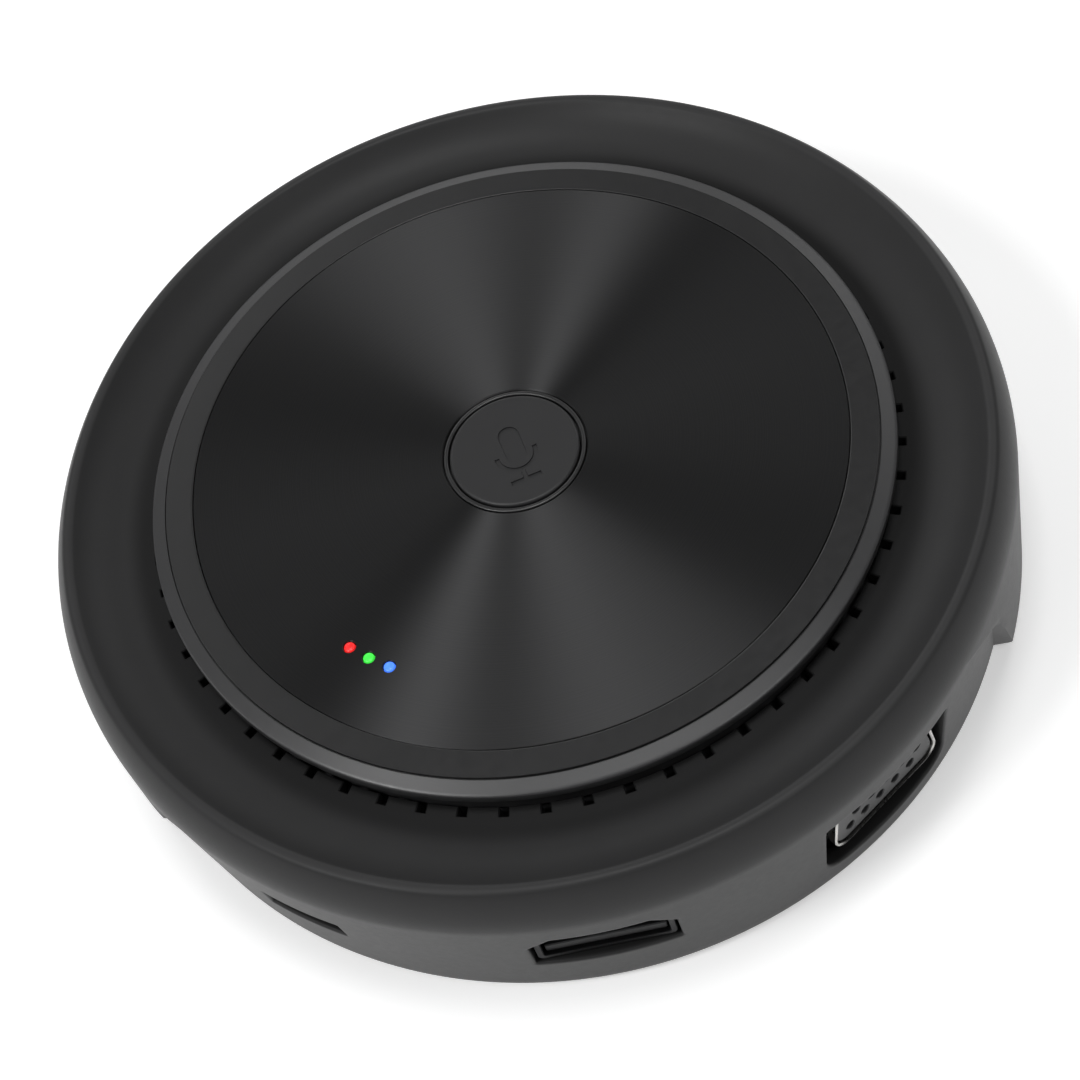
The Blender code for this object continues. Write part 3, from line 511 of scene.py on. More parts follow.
class Shape:
    """Points in millimetres and faces, gathered loop by loop."""

    def __init__(self):
        self.points = []
        self.faces = []

    def loop(self, points):
        start = len(self.points)
        self.points += [tuple(p) for p in points]
        return list(range(start, len(self.points)))

    def face(self, corners):
        kept = list(dict.fromkeys(corners))
        if len(kept) > 2:
            self.faces.append(kept)

    def strip(self, first, second, closed=True):
        """Quads between two loops with the same number of points."""
        count = len(first)
        for i in range(count if closed else count - 1):
            after = (i + 1) % count
            self.face((first[i], first[after], second[after], second[i]))

    def body(self, outlines):
        """A closed body through outlines with the same number of points."""
        loops = [self.loop(points) for points in outlines]
        for first, second in zip(loops, loops[1:]):
            self.strip(first, second)
        self.face(loops[0])
        self.face(loops[-1])

    def turn_of(self, index, base=0.0):
        x, y, _ = self.points[index]
        return (math.atan2(y, x) - base) % (2.0 * math.pi)

    def stitch(self, first, second):
        """Triangles between two full rings that have different numbers of points."""
        base = self.turn_of(first[0]) - 1e-6
        rings = [sorted(ring, key=lambda i: self.turn_of(i, base)) for ring in (first, second)]
        turns = [[self.turn_of(i, base) for i in ring] for ring in rings]
        turns = [t + [t[0] + 2.0 * math.pi] for t in turns]
        a, b = 0, 0
        while a < len(rings[0]) or b < len(rings[1]):
            here = (rings[0][a % len(rings[0])], rings[1][b % len(rings[1])])
            step_a = b >= len(rings[1]) or (a < len(rings[0]) and turns[0][a + 1] <= turns[1][b + 1])
            if step_a:
                a += 1
                self.face((*here, rings[0][a % len(rings[0])]))
            else:
                b += 1
                self.face((*here, rings[1][b % len(rings[1])]))


def oblong(left, right, low, high):
    return [(left, low), (right, low), (right, high), (left, high)]


def spot(radius, degrees):
    """The (x, y) at a radius and an angle."""
    turn = math.radians(degrees)
    return radius * math.cos(turn), radius * math.sin(turn)


def bar(half, low, high, radius, steps=3):
    """Outline of a bar with rounded corners, as wide on both sides of the middle."""
    return rounded([(*corner, radius) for corner in oblong(-half, half, low, high)], steps)


def rounded(corners, steps=5):
    """A closed outline with each (x, y, radius) corner rounded off."""
    points = []
    for i, (x, y, radius) in enumerate(corners):
        corner = Vector((x, y))
        if radius <= 0.0:
            points.append((x, y))
            continue
        back = (Vector(corners[i - 1][:2]) - corner).normalized()
        ahead = (Vector(corners[(i + 1) % len(corners)][:2]) - corner).normalized()
        half = back.angle(ahead) / 2.0
        centre = corner + (back + ahead).normalized() * (radius / math.sin(half))
        start = corner + back * (radius / math.tan(half)) - centre
        end = corner + ahead * (radius / math.tan(half)) - centre
        first = math.atan2(start.y, start.x)
        sweep = (math.atan2(end.y, end.x) - first + math.pi) % (2.0 * math.pi) - math.pi
        for k in range(steps + 1):
            angle = first + sweep * k / steps
            points.append((centre.x + radius * math.cos(angle), centre.y + radius * math.sin(angle)))
    return points


def grown(corners, offset):
    """A convex outline, counter-clockwise, with every side moved outwards."""
    made = []
    for i, (x, y, radius) in enumerate(corners):
        corner = Vector((x, y))
        back = (corner - Vector(corners[i - 1][:2])).normalized()
        ahead = (Vector(corners[(i + 1) % len(corners)][:2]) - corner).normalized()
        sides = Vector((back.y, -back.x)), Vector((ahead.y, -ahead.x))
        mitre = (sides[0] + sides[1]).normalized()
        moved = corner + mitre * (offset / max(mitre.dot(sides[0]), 0.2))
        made.append((moved.x, moved.y, max(radius + offset, 0.02)))
    return made


def arc(centre, radius, start, end, steps):
    """Points along an arc, in degrees, with both ends."""
    angles = [math.radians(start + (end - start) * i / steps) for i in range(steps + 1)]
    return [(centre[0] + radius * math.cos(a), centre[1] + radius * math.sin(a)) for a in angles]


def circle(radius, height, steps, centre=(0.0, 0.0)):
    turns = [2.0 * math.pi * i / steps for i in range(steps)]
    return [(centre[0] + radius * math.cos(t), centre[1] + radius * math.sin(t), height) for t in turns]


def turned(outline, steps=160, centre=(0.0, 0.0), shape=None):
    """Spin a closed outline of (radius, height) points about a vertical axis."""
    shape = shape or Shape()
    rings = []
    for radius, height in outline:
        if radius < 1e-6:
            rings.append(shape.loop([(*centre, height)]) * steps)
        else:
            rings.append(shape.loop(circle(radius, height, steps, centre)))
    for first, second in zip(rings, rings[1:] + rings[:1]):
        shape.strip(first, second)
    return shape


def extruded(outline, near, far, bevel=0.0, shape=None):
    """A flat outline of (y, z) points run out along X, its end edges bevelled by shrinking both ends."""
    shape = shape or Shape()
    stations = [(near, 0.0), (far, 0.0)]
    if bevel > 0.0:
        stations = [(near, bevel), (near + bevel, 0.0), (far - bevel, 0.0), (far, bevel)]
    shape.body([(x, y, z) for y, z in shrunk(outline, shrink)] for x, shrink in stations)
    return shape


def shrunk(outline, offset):
    """A closed outline, counter-clockwise, with each point moved inwards along its normal."""
    if offset == 0.0:
        return list(outline)
    made = []
    count = len(outline)
    for i, (x, y) in enumerate(outline):
        before, after = Vector(outline[i - 1]), Vector(outline[(i + 1) % count])
        here = Vector((x, y))
        a, b = (here - before).normalized(), (after - here).normalized()
        mitre = (Vector((-a.y, a.x)) + Vector((-b.y, b.x))).normalized()
        share = max(mitre.dot(Vector((-a.y, a.x))), 0.3)
        made.append(tuple(here + mitre * (offset / share)))
    return made


def tube(outer, inner, near, far, bevel=0.0, lip=0.0):
    """A hollow sleeve between two outlines with as many points each, along X. lip rolls its mouth inwards."""
    shape = Shape()
    mouth = far if lip == 0.0 else far - 0.8
    stations = [(near + bevel, outer, 0.0), (far - bevel, outer, 0.0), (far, outer, bevel),
                (far, inner, lip - bevel)]
    if lip > 0.0:
        stations += [(far - bevel, inner, lip), (far - 0.5, inner, lip), (mouth, inner, 0.0)]
    else:
        stations.append((far - bevel, inner, 0.0))
    stations += [(near + bevel, inner, 0.0), (near, inner, -bevel), (near, outer, bevel)]
    loops = [shape.loop([(x, y, z) for y, z in shrunk(line, shrink)]) for x, line, shrink in stations]
    for first, second in zip(loops, loops[1:] + loops[:1]):
        shape.strip(first, second)
    return shape


def swung(shape, azimuth):
    """Turn a shape about the vertical axis, in degrees."""
    c, s = math.cos(math.radians(azimuth)), math.sin(math.radians(azimuth))
    shape.points = [(x * c - y * s, x * s + y * c, z) for x, y, z in shape.points]
    return shape


def mesh_of(name, shape, weld):
    """The shape in metres with its faces pointing outwards."""
    mesh = bpy.data.meshes.new(name)
    mesh.from_pydata([[c * MM for c in p] for p in shape.points], [], shape.faces)
    build = bmesh.new()
    build.from_mesh(mesh)
    if weld:
        bmesh.ops.remove_doubles(build, verts=build.verts, dist=1e-7)
    bmesh.ops.recalc_face_normals(build, faces=build.faces)
    build.to_mesh(mesh)
    build.free()
    return mesh


def piece(name, shape, look, body, slot, *nodes):
    """Make a shape into a finished piece on a body, standing for the CAD nodes it replaces."""
    mesh = mesh_of(name, shape, True)
    mesh.shade_smooth()
    mesh.set_sharp_from_angle(angle=SHARP_ANGLE)
    mesh.materials.append(look)
    made = bpy.data.objects.new(name, mesh)
    bpy.context.scene.collection.objects.link(made)
    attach(made, body)
    if nodes:
        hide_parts(*nodes)
    return made


def carve(made, shape, operation="DIFFERENCE"):
    """Apply one Boolean to a finished piece, then shade it again."""
    tool = bpy.data.objects.new("tool", mesh_of("tool", shape, False))
    bpy.context.scene.collection.objects.link(tool)
    step = made.modifiers.new("carve", "BOOLEAN")
    step.operation = operation
    step.solver = "EXACT"
    step.use_self = True
    step.object = tool
    ready = made.evaluated_get(bpy.context.evaluated_depsgraph_get())
    result = bpy.data.meshes.new_from_object(ready)
    made.modifiers.clear()
    made.data = result
    result.shade_smooth()
    result.set_sharp_from_angle(angle=SHARP_ANGLE)
    bpy.data.objects.remove(tool)


# ---- Housing -------------------------------------------------------------------------------------

BAY_CENTRE = -90.0
BAY_DEPTH = 2.03  # how far the bay's wall leans in at the rim
BAY_TOP = 20.06
BAY_SHOULDER, BAY_WIDE, BAY_SHOULDER_WIDE, BAY_TOP_WIDE = 14.1, 64.5, 59.6, 50.0
FACET = 0.8  # degrees over which the bay's end facet runs out
WALL = 2.0
BAY_STEPS, REST_STEPS = 150, 230
WALL_ROWS = (20.06, 19.3, 18.5, 17.7, 16.9, 16.2, 15.5, 14.8, 14.1, 13.0, 11.8, 10.4, 9.0, 7.6, 6.2,
             4.8, 3.6, 2.6, 1.7)
LIP_RADIUS, LIP_TOP, LIP_UNDER_SIDE = 41.9, 22.7, 21.1
DISH_START, DISH_RADIUS, DISH_END = (44.5, 22.55), 10.79, -47.7
BULGE_RADIUS = 8.4
BULGE_CENTRE = (46.6, 20.06)
RIDGE_RADIUS, RIDGE_ANGLE = 1.0, 38.0
VENTS, VENT_PHASE, VENT_HALF, VENT_REACH = 60, 2.2, 0.5, 43.0
TUNNEL_FILLET = 0.35

# Port openings: facing angle, then each corner's (y, z, radius), counter-clockwise
VGA_AZIMUTH, HDMI_AZIMUTH, USB_AZIMUTH = -53.0, -90.0, -126.1
VGA_OPENING = ((-9.3, 4.7, 2.4), (9.3, 4.7, 2.4), (9.3, 16.3, 0.3), (-9.3, 16.3, 0.3))
HDMI_OPENING = ((-7.9, 8.7, 0.2), (7.9, 8.7, 0.2), (7.9, 14.0, 0.3), (5.2, 16.4, 0.3), (-5.2, 16.4, 0.3),
                (-7.9, 14.0, 0.3))
USB_OPENING = ((-4.8, 10.2, 0.15), (4.8, 10.2, 0.15), (4.8, 13.7, 0.15), (-4.8, 13.7, 0.15))


def bay_half(height):
    """Half angle of the port bay at a height: straight flanks below the shoulder, curved in above it."""
    if height <= BAY_SHOULDER:
        share = (height - RIM) / (BAY_SHOULDER - RIM)
        return BAY_WIDE + (BAY_SHOULDER_WIDE - BAY_WIDE) * max(share, 0.0)
    share = min((height - BAY_SHOULDER) / (BAY_TOP - BAY_SHOULDER), 1.0)
    narrowing = BAY_SHOULDER_WIDE - BAY_TOP_WIDE
    return BAY_SHOULDER_WIDE - narrowing * (0.535 * share + 0.465 * share * share)


def lean(height):
    return BAY_DEPTH * min(max((BAY_TOP - height) / (BAY_TOP - RIM), 0.0), 1.0)


def ring_points(base, height, inset=0.0, bay_height=None):
    """One turn of the wall: the bay from end to end, then the rest, each end with a small bevel."""
    level = height if bay_height is None else bay_height
    half, depth = bay_half(level), lean(level)
    places = []
    for i in range(BAY_STEPS + 1):
        places.append((BAY_CENTRE - half + 2.0 * half * i / BAY_STEPS, depth))
    edge, bevel = half + FACET, 0.2
    places.append((BAY_CENTRE + edge, 0.1 * depth))
    span = 360.0 - 2.0 * (edge + bevel)
    for i in range(REST_STEPS + 1):
        places.append((BAY_CENTRE + edge + bevel + span * i / REST_STEPS, 0.0))
    places.append((BAY_CENTRE - edge, 0.1 * depth))
    made = []
    for azimuth, depth_here in places:
        made.append((*spot(base - inset - depth_here, azimuth), height))
    return made


def port_loop(corners, offset):
    """An opening's outline grown by offset, with the same number of points whatever the offset."""
    plain = rounded(corners)
    moved = rounded(grown(corners, offset)) if offset > 0.0 else plain
    made = []
    for i, (here, there) in enumerate(zip(plain, plain[1:] + plain[:1])):
        parts = max(1, round(math.dist(here, there) / 0.8))
        start, end = moved[i], moved[(i + 1) % len(moved)]
        for k in range(parts):
            share = k / parts
            made.append((start[0] + (end[0] - start[0]) * share, start[1] + (end[1] - start[1]) * share))
    return made


def on_wall(outline, azimuth, base, depth=0.0):
    """Where a port's outline, pushed in along its facing direction, meets the bay's leaning wall."""
    c, s = math.cos(math.radians(azimuth)), math.sin(math.radians(azimuth))
    made = []
    for y, z in outline:
        reach = base - lean(z)
        x = math.sqrt(reach * reach - y * y) - depth
        made.append((x * c - y * s, x * s + y * c, z))
    return made


def flat_place(point):
    """A wall point unrolled to a plane, about a millimetre to a millimetre."""
    x, y, z = point
    return math.degrees(math.atan2(y, x)) * 0.93, z


def inside(place, outline):
    """Is a flat place inside a closed outline?"""
    x, y = place
    found = False
    for (ax, ay), (bx, by) in zip(outline, outline[1:] + outline[:1]):
        if (ay > y) != (by > y) and x < (bx - ax) * (y - ay) / (by - ay) + ax:
            found = not found
    return found


def bay_patch(shape, base, rows, rims, sides, holes):
    """Mesh the bay's wall between its top and bottom rows and its two sides, leaving the openings out.

    rims holds the top and bottom rows from left to right, sides the (left, right) points of the rows between,
    and holes each opening's own loop with a support loop a little outside it."""
    top, bottom = rims
    lefts, rights = [s[0] for s in sides], [s[1] for s in sides]
    border = bottom + rights[::-1] + top[::-1] + lefts
    loops = [border] + [loop for pair in holes for loop in pair]
    order, edges = [], []
    for loop in loops:
        start = len(order)
        order += loop
        edges += [(start + i, start + (i + 1) % len(loop)) for i in range(len(loop))]
    fences = [[flat_place(shape.points[i]) for i in support] for _, support in holes]
    for height in rows[1:-1]:
        half, reach = bay_half(height), base - lean(height)
        for i in range(1, BAY_STEPS):
            point = (*spot(reach, BAY_CENTRE - half + 2.0 * half * i / BAY_STEPS), height)
            place = flat_place(point)
            near = any(math.dist(place, p) < 0.45 for fence in fences for p in fence)
            if not near and not any(inside(place, fence) for fence in fences):
                order += shape.loop([point])
    places = [Vector(flat_place(shape.points[i])) for i in order]
    _, _, faces, origins, _, _ = delaunay_2d_cdt(places, edges, [], 1, 1e-6)
    gaps = [[flat_place(shape.points[i]) for i in hole] for hole, _ in holes]
    for face in faces:
        corners = [origins[i][0] for i in face]
        middle = (sum(places[i].x for i in corners) / 3.0, sum(places[i].y for i in corners) / 3.0)
        if not any(inside(middle, gap) for gap in gaps):
            shape.face([order[i] for i in corners])


def wall(shape, base, rows, openings, offsets):
    """The leaning wall at one radius. Returns its top ring, its bottom ring and each opening's loop."""
    rings = []
    for row, height in enumerate(rows):
        points = ring_points(base, height)
        if 0 < row < len(rows) - 1:
            points = [points[0]] + points[BAY_STEPS:]
        rings.append(shape.loop(points))
    tops, bottoms = rings[0][:BAY_STEPS + 1], rings[-1][:BAY_STEPS + 1]
    ends = [[ring[0]] + ring[BAY_STEPS:] if row in (0, len(rows) - 1) else ring
            for row, ring in enumerate(rings)]
    for upper, lower in zip(ends, ends[1:]):
        around = [upper[1:] + upper[:1], lower[1:] + lower[:1]]
        shape.strip(*around, closed=False)
    holes = []
    for azimuth, corners in openings:
        loop = shape.loop(on_wall(port_loop(corners, offsets[0]), azimuth, base))
        support = shape.loop(on_wall(port_loop(corners, offsets[1]), azimuth, base))
        holes.append((loop, support))
    sides = [(ring[0], ring[1]) for ring in ends[1:-1]]
    bay_patch(shape, base, rows, (tops, bottoms), sides, holes)
    return rings[0], rings[-1], [loop for loop, _ in holes]


def lip_columns():
    """(azimuth offset in degrees or None at the slot's edge, side) of the columns in one vent's pitch."""
    return ((-1.0, 0.0), (-0.5, 0.0), (0.0, 0.0), (0.5, 0.0), (1.0, 0.0), (1.0, 0.17),
            (0.0, 2.0), (0.0, 3.0), (0.0, 4.0), (-1.0, 5.83))


def lip_ring(radius, height, drops=()):
    """One ring of the lip: each vent's columns follow its parallel sides. drops lowers named columns."""
    half = math.degrees(math.asin(VENT_HALF / radius))
    pitch = 360.0 / VENTS
    made = []
    for vent in range(VENTS):
        for column, (share, more) in enumerate(lip_columns()):
            place = spot(radius, VENT_PHASE + pitch * vent + share * half + more)
            made.append((*place, height - dict(drops).get(column, 0.0)))
    return made


def vented_lip(shape):
    """The dish's inner lip with its slots. Returns its outermost rings, above and below."""
    chamfer = 0.14
    slot_edges = ((0, chamfer), (4, chamfer))
    slot_end = tuple((column, chamfer) for column in range(5))
    slope = (LIP_TOP - DISH_START[1]) / (DISH_START[0] - LIP_RADIUS)

    def top(radius):
        return LIP_TOP - slope * (radius - LIP_RADIUS)

    radii = (LIP_RADIUS + 0.12, 42.4, 42.85, VENT_REACH)
    above = [shape.loop(lip_ring(LIP_RADIUS, LIP_TOP - 0.12))]
    above += [shape.loop(lip_ring(r, top(r), slot_edges)) for r in radii[:-1]]
    above.append(shape.loop(lip_ring(VENT_REACH, top(VENT_REACH), slot_end)))
    outer = [shape.loop(lip_ring(r, top(r))) for r in (VENT_REACH + chamfer, 43.9)]
    below = [shape.loop(lip_ring(r, LIP_UNDER_SIDE)) for r in (LIP_RADIUS, *radii)]
    outer_below = [shape.loop(lip_ring(43.9, LIP_UNDER_SIDE))]
    count, width = len(above[0]), len(lip_columns())

    def slotted(rows):
        for first, second in zip(rows, rows[1:]):
            for i in range(count):
                if i % width >= 4:
                    after = (i + 1) % count
                    shape.face((first[i], first[after], second[after], second[i]))

    slotted(above)
    slotted(below)
    for first, second in ((above[-1], outer[0]), (outer[0], outer[1]), (below[-1], outer_below[0])):
        shape.strip(first, second)
    for i in range(count):
        after = (i + 1) % count
        if i % width < 4:
            shape.face((above[-1][i], above[-1][after], below[-1][after], below[-1][i]))
        else:
            shape.face((above[0][i], above[0][after], below[0][after], below[0][i]))
        if i % width in (0, 4):
            for upper, lower in zip(range(len(above) - 1), range(1, len(above))):
                shape.face((above[upper][i], above[lower][i], below[lower][i], below[upper][i]))
    return outer[-1], outer_below[0]


def housing(look):
    shape = Shape()
    openings = ((VGA_AZIMUTH, VGA_OPENING), (HDMI_AZIMUTH, HDMI_OPENING), (USB_AZIMUTH, USB_OPENING))
    fillet = TUNNEL_FILLET
    top, bottom, mouths = wall(shape, WALL_RADIUS, WALL_ROWS, openings, (fillet, fillet + 0.3))
    inner_rows = (*WALL_ROWS[:-1], RIM)
    inner = WALL_RADIUS - WALL
    inner_top, inner_bottom, ends = wall(shape, inner, inner_rows, openings, (0.0, 0.3))
    for (azimuth, corners), mouth, end in zip(openings, mouths, ends):
        loops = [mouth]
        for step in range(1, 5):
            turn = math.radians(22.5 * step)
            outline = port_loop(corners, fillet * (1.0 - math.sin(turn)))
            depth = fillet * (1.0 - math.cos(turn))
            loops.append(shape.loop(on_wall(outline, azimuth, WALL_RADIUS, depth)))
        for first, second in zip(loops, loops[1:] + [end]):
            shape.strip(first, second)

    ridge = math.radians(RIDGE_ANGLE)
    reach = BULGE_RADIUS - RIDGE_RADIUS
    crest = (BULGE_CENTRE[0] + reach * math.cos(ridge), BULGE_CENTRE[1] + reach * math.sin(ridge))
    dish = (DISH_START[0], DISH_START[1] + DISH_RADIUS)
    outline = arc(dish, DISH_RADIUS, -90.0, DISH_END, 16)[:-1]
    outline += arc(crest, RIDGE_RADIUS, 180.0 + DISH_END, RIDGE_ANGLE, 10)
    outline += arc(BULGE_CENTRE, BULGE_RADIUS, RIDGE_ANGLE, 0.0, 12)[1:-1]
    rings = [shape.loop(ring_points(r, z, bay_height=BAY_TOP)) for r, z in outline]
    for first, second in zip(rings, rings[1:] + [top]):
        shape.strip(first, second)
    lip, lip_below = vented_lip(shape)
    shape.stitch(lip, rings[0])

    rim = [bottom]
    for step in range(1, 5):
        turn = math.radians(22.5 * step)
        inset, height = 0.5 * (1.0 - math.cos(turn)), RIM + 0.5 * (1.0 - math.sin(turn))
        rim.append(shape.loop(ring_points(WALL_RADIUS, height, inset)))
    for first, second in zip(rim, rim[1:] + [inner_bottom]):
        shape.strip(first, second)
    inside_line = arc(BULGE_CENTRE, BULGE_RADIUS - WALL, 0.0, 25.0, 5)[1:]
    inside_line += [(50.9, 22.9), (47.6, LIP_UNDER_SIDE)]
    inside_rings = [inner_top]
    inside_rings += [shape.loop(ring_points(r, z, bay_height=BAY_TOP)) for r, z in inside_line]
    for first, second in zip(inside_rings, inside_rings[1:]):
        shape.strip(first, second)
    shape.stitch(lip_below, inside_rings[-1])
    return piece("upper_housing_shell", shape, look, "case", "housing", "upper_housing")


def bosses(look):
    """Four screw bosses that stand under the dish, each with a bored, flared foot."""
    shape = Shape()
    low, high = FLOOR_TOP + 0.3, node_high("upper_housing", 2) - 3.5
    for angle in BOSS_ANGLES:
        centre = spot(BOSS_RADIUS, angle)
        outline = [(1.35, low), (2.75, low), (2.9, low + 0.15), (2.9, high), (0.0, high), (0.0, 14.0),
                   (1.05, 13.4), (1.2, 13.2), (1.2, low + 0.2)]
        turned(outline, 48, centre, shape)
    return piece("housing_bosses", shape, look, "case", "housing")


# ---- Top: bezel, disc, button, lights ------------------------------------------------------------

def bezel(look):
    """Flat ring with a hairline groove, chamfer, undercut neck and the shelf for the disc."""
    shelf, under, inner = DISC_UNDER - 0.3, node_high("carrier", 2) + 2.1, DISC_RADIUS + 0.1
    top = DISC_TOP
    outline = [(inner, shelf), (inner, top - 0.25)]
    outline += [(inner + 0.09 - r, z) for r, z in ((0.09, top - 0.09), (0.063, top - 0.027), (0.0, top))]
    outline += [(inner + 0.25, top), (40.15, top), (40.40, top), (40.43, top - 0.03), (40.43, top - 0.45),
                (40.58, top - 0.45), (40.585, top - 0.26), (40.60, top - 0.245), (40.85, top - 0.335),
                (41.9, top - 0.71), (42.10, top - 0.78), (42.22, top - 0.85), (42.28, top - 0.93),
                (BEZEL_RADIUS, top - 1.02), (BEZEL_RADIUS, top - 1.90), (42.24, top - 2.0),
                (42.1, top - 2.06), (41.52, top - 2.20), (41.4, top - 2.33), (41.4, top - 2.6),
                (41.4, 21.5), (41.25, 21.3), (39.75, 21.3), (39.6, 21.5), (39.6, under), (33.15, under),
                (33.0, under + 0.15), (33.0, shelf - 0.15), (33.15, shelf)]
    return piece("bezel_ring", turned(outline, 288), look, "case", "bezel", "bezel")


def disc(look):
    """Turned disc with broken edges, a hole for the button and three for the lights."""
    hole, hole_edge, edge = 8.25, 0.13, 0.06
    outline = [(hole, DISC_UNDER), (hole, DISC_TOP - hole_edge), (hole + hole_edge, DISC_TOP),
               (DISC_RADIUS - edge, DISC_TOP), (DISC_RADIUS, DISC_TOP - edge), (DISC_RADIUS, DISC_UNDER)]
    made = piece("turned_disc", turned(outline, 288), look, "case", "disc", "brushed_disc")
    tools = Shape()
    for colour in LAMPS:
        centre = node_centre(f"led_{colour}")
        low, high = DISC_UNDER - 1.0, DISC_TOP
        outline = [(0.0, low), (0.74, low), (0.74, high - 0.05), (0.85, high + 0.06), (0.0, high + 0.06)]
        turned(outline, 32, centre, tools)
    carve(made, tools)
    return made


def mark_outlines():
    """A generic microphone sign, as closed outlines of (x, y) in millimetres."""
    capsule = arc((0.0, 1.45), 0.85, 0.0, 180.0, 12) + arc((0.0, -0.35), 0.85, 180.0, 360.0, 12)
    cradle = arc((0.0, -0.35), 1.75, 175.0, 365.0, 20) + arc((0.0, -0.35), 1.33, 365.0, 175.0, 20)
    return capsule, cradle, oblong(-0.21, 0.21, -3.0, -2.0), oblong(-1.25, 1.25, -3.1, -2.7)


def button_cap(look):
    """Cap with a rolled edge, a shallow dish and an engraved microphone sign."""
    low, top = node_low("button_cap", 2), node_high("button_cap", 2)
    flange = low + 0.4
    outline = [(0.0, low), (8.7, low), (8.8, low + 0.1), (8.8, flange - 0.1), (8.7, flange), (7.4, flange)]
    outline += [(7.4, top - 0.45)] + arc((7.05, top - 0.35), 0.35, 0.0, 90.0, 8)
    outline += [(6.9, top - 0.003), (6.6, top - 0.012), (5.0, top - 0.05), (3.0, top - 0.08), (0.0, top - 0.09)]
    made = piece("button_top", turned(outline, 192), look, "button", "button", "button_cap")
    tools = Shape()
    turn = math.radians(MARK_TURN)
    for small in mark_outlines():
        line = [(MARK_SCALE * x, MARK_SCALE * y) for x, y in small]
        ends = ((top - 0.24, 0.05), (top + 0.2, -0.03))
        tools.body([(x * math.cos(turn) - y * math.sin(turn), x * math.sin(turn) + y * math.cos(turn), height)
                    for x, y in shrunk(line, shrink)] for height, shrink in ends)
    carve(made, tools)
    return made


def button_ring(look):
    low, top, inner, outer = DISC_UNDER, DISC_TOP, 7.6, 8.1
    mid, crown = 0.5 * (inner + outer), 0.5 * (outer - inner)
    outline = [(inner, low), (outer, low), (outer, top - 0.12)]
    outline += [(mid + crown * math.cos(a), top - 0.12 + 0.12 * math.sin(a))
                for a in (math.pi * i / 8 for i in range(1, 8))]
    outline += [(inner, top - 0.12)]
    return piece("button_trim", turned(outline[::-1], 160), look, "case", "bezel", "button_ring")


def light_pipes(looks):
    for colour in LAMPS:
        pipe = f"light_pipe_{colour}"
        low, flange, top = node_low(pipe, 2), DISC_UNDER - 0.3, DISC_TOP
        dome = [(0.62 * math.cos(a), top - 0.14 + 0.20 * math.sin(a))
                for a in (0.5 * math.pi * i / 6 for i in range(7))]
        outline = [(0.0, low), (0.9, low), (1.0, low + 0.1), (1.0, flange - 0.08), (0.92, flange),
                   (0.62, flange)] + dome[:-1] + [(0.0, top + 0.06)]
        made = turned(outline, 40, node_centre(pipe))
        piece(f"lit_{pipe}", made, looks[f"light_{colour}"], "case", f"light_{colour}", pipe)


# ---- Underside: base plate, foot, screws ---------------------------------------------------------

def base_plate(look):
    """Floor with a grooved seat for the foot and sunk screw holes."""
    reach, low, high, edge = WALL_RADIUS - WALL - 0.3, RIM, FLOOR_TOP, 0.2
    shape = Shape()
    levels = ((edge, low), (0.0, low + edge), (0.0, high - edge), (edge, high))
    shape.body(ring_points(reach, z, inset, bay_height=RIM) for inset, z in levels)
    made = piece("floor_plate", shape, look, "case", "base", "base_plate")
    groove = ((38.6, low - 1.0), (43.4, low - 1.0), (43.4, low + 1.0), (38.6, low + 1.0))
    carve(made, turned(groove, 192))
    tools = Shape()
    for angle in BOSS_ANGLES:
        centre = spot(BOSS_RADIUS, angle)
        bore = [(0.0, low - 1.0), (2.6, low - 1.0), (2.6, low), (2.4, low + 0.2), (2.4, low + 1.2),
                (1.5, low + 1.2), (1.5, high + 1.0), (0.0, high + 1.0)]
        turned(bore, 40, centre, tools)
    carve(made, tools)
    return made


def foot(look):
    """Ring foot with two fine channels round its underside."""
    outer, top = node_high("rubber_foot", 0), node_high("rubber_foot", 2)
    inner = outer - 4.2
    outline = [(inner, top)] + arc((inner + 0.4, 0.4), 0.4, 180.0, 270.0, 5)
    for middle in (40.3, 41.7):
        outline += [(middle - 0.25, 0.0), (middle - 0.15, 0.18), (middle + 0.15, 0.18), (middle + 0.25, 0.0)]
    outline += arc((outer - 0.4, 0.4), 0.4, 270.0, 360.0, 5) + [(outer, top)]
    return piece("ring_foot", turned(outline, 224), look, "case", "rubber", "rubber_foot")


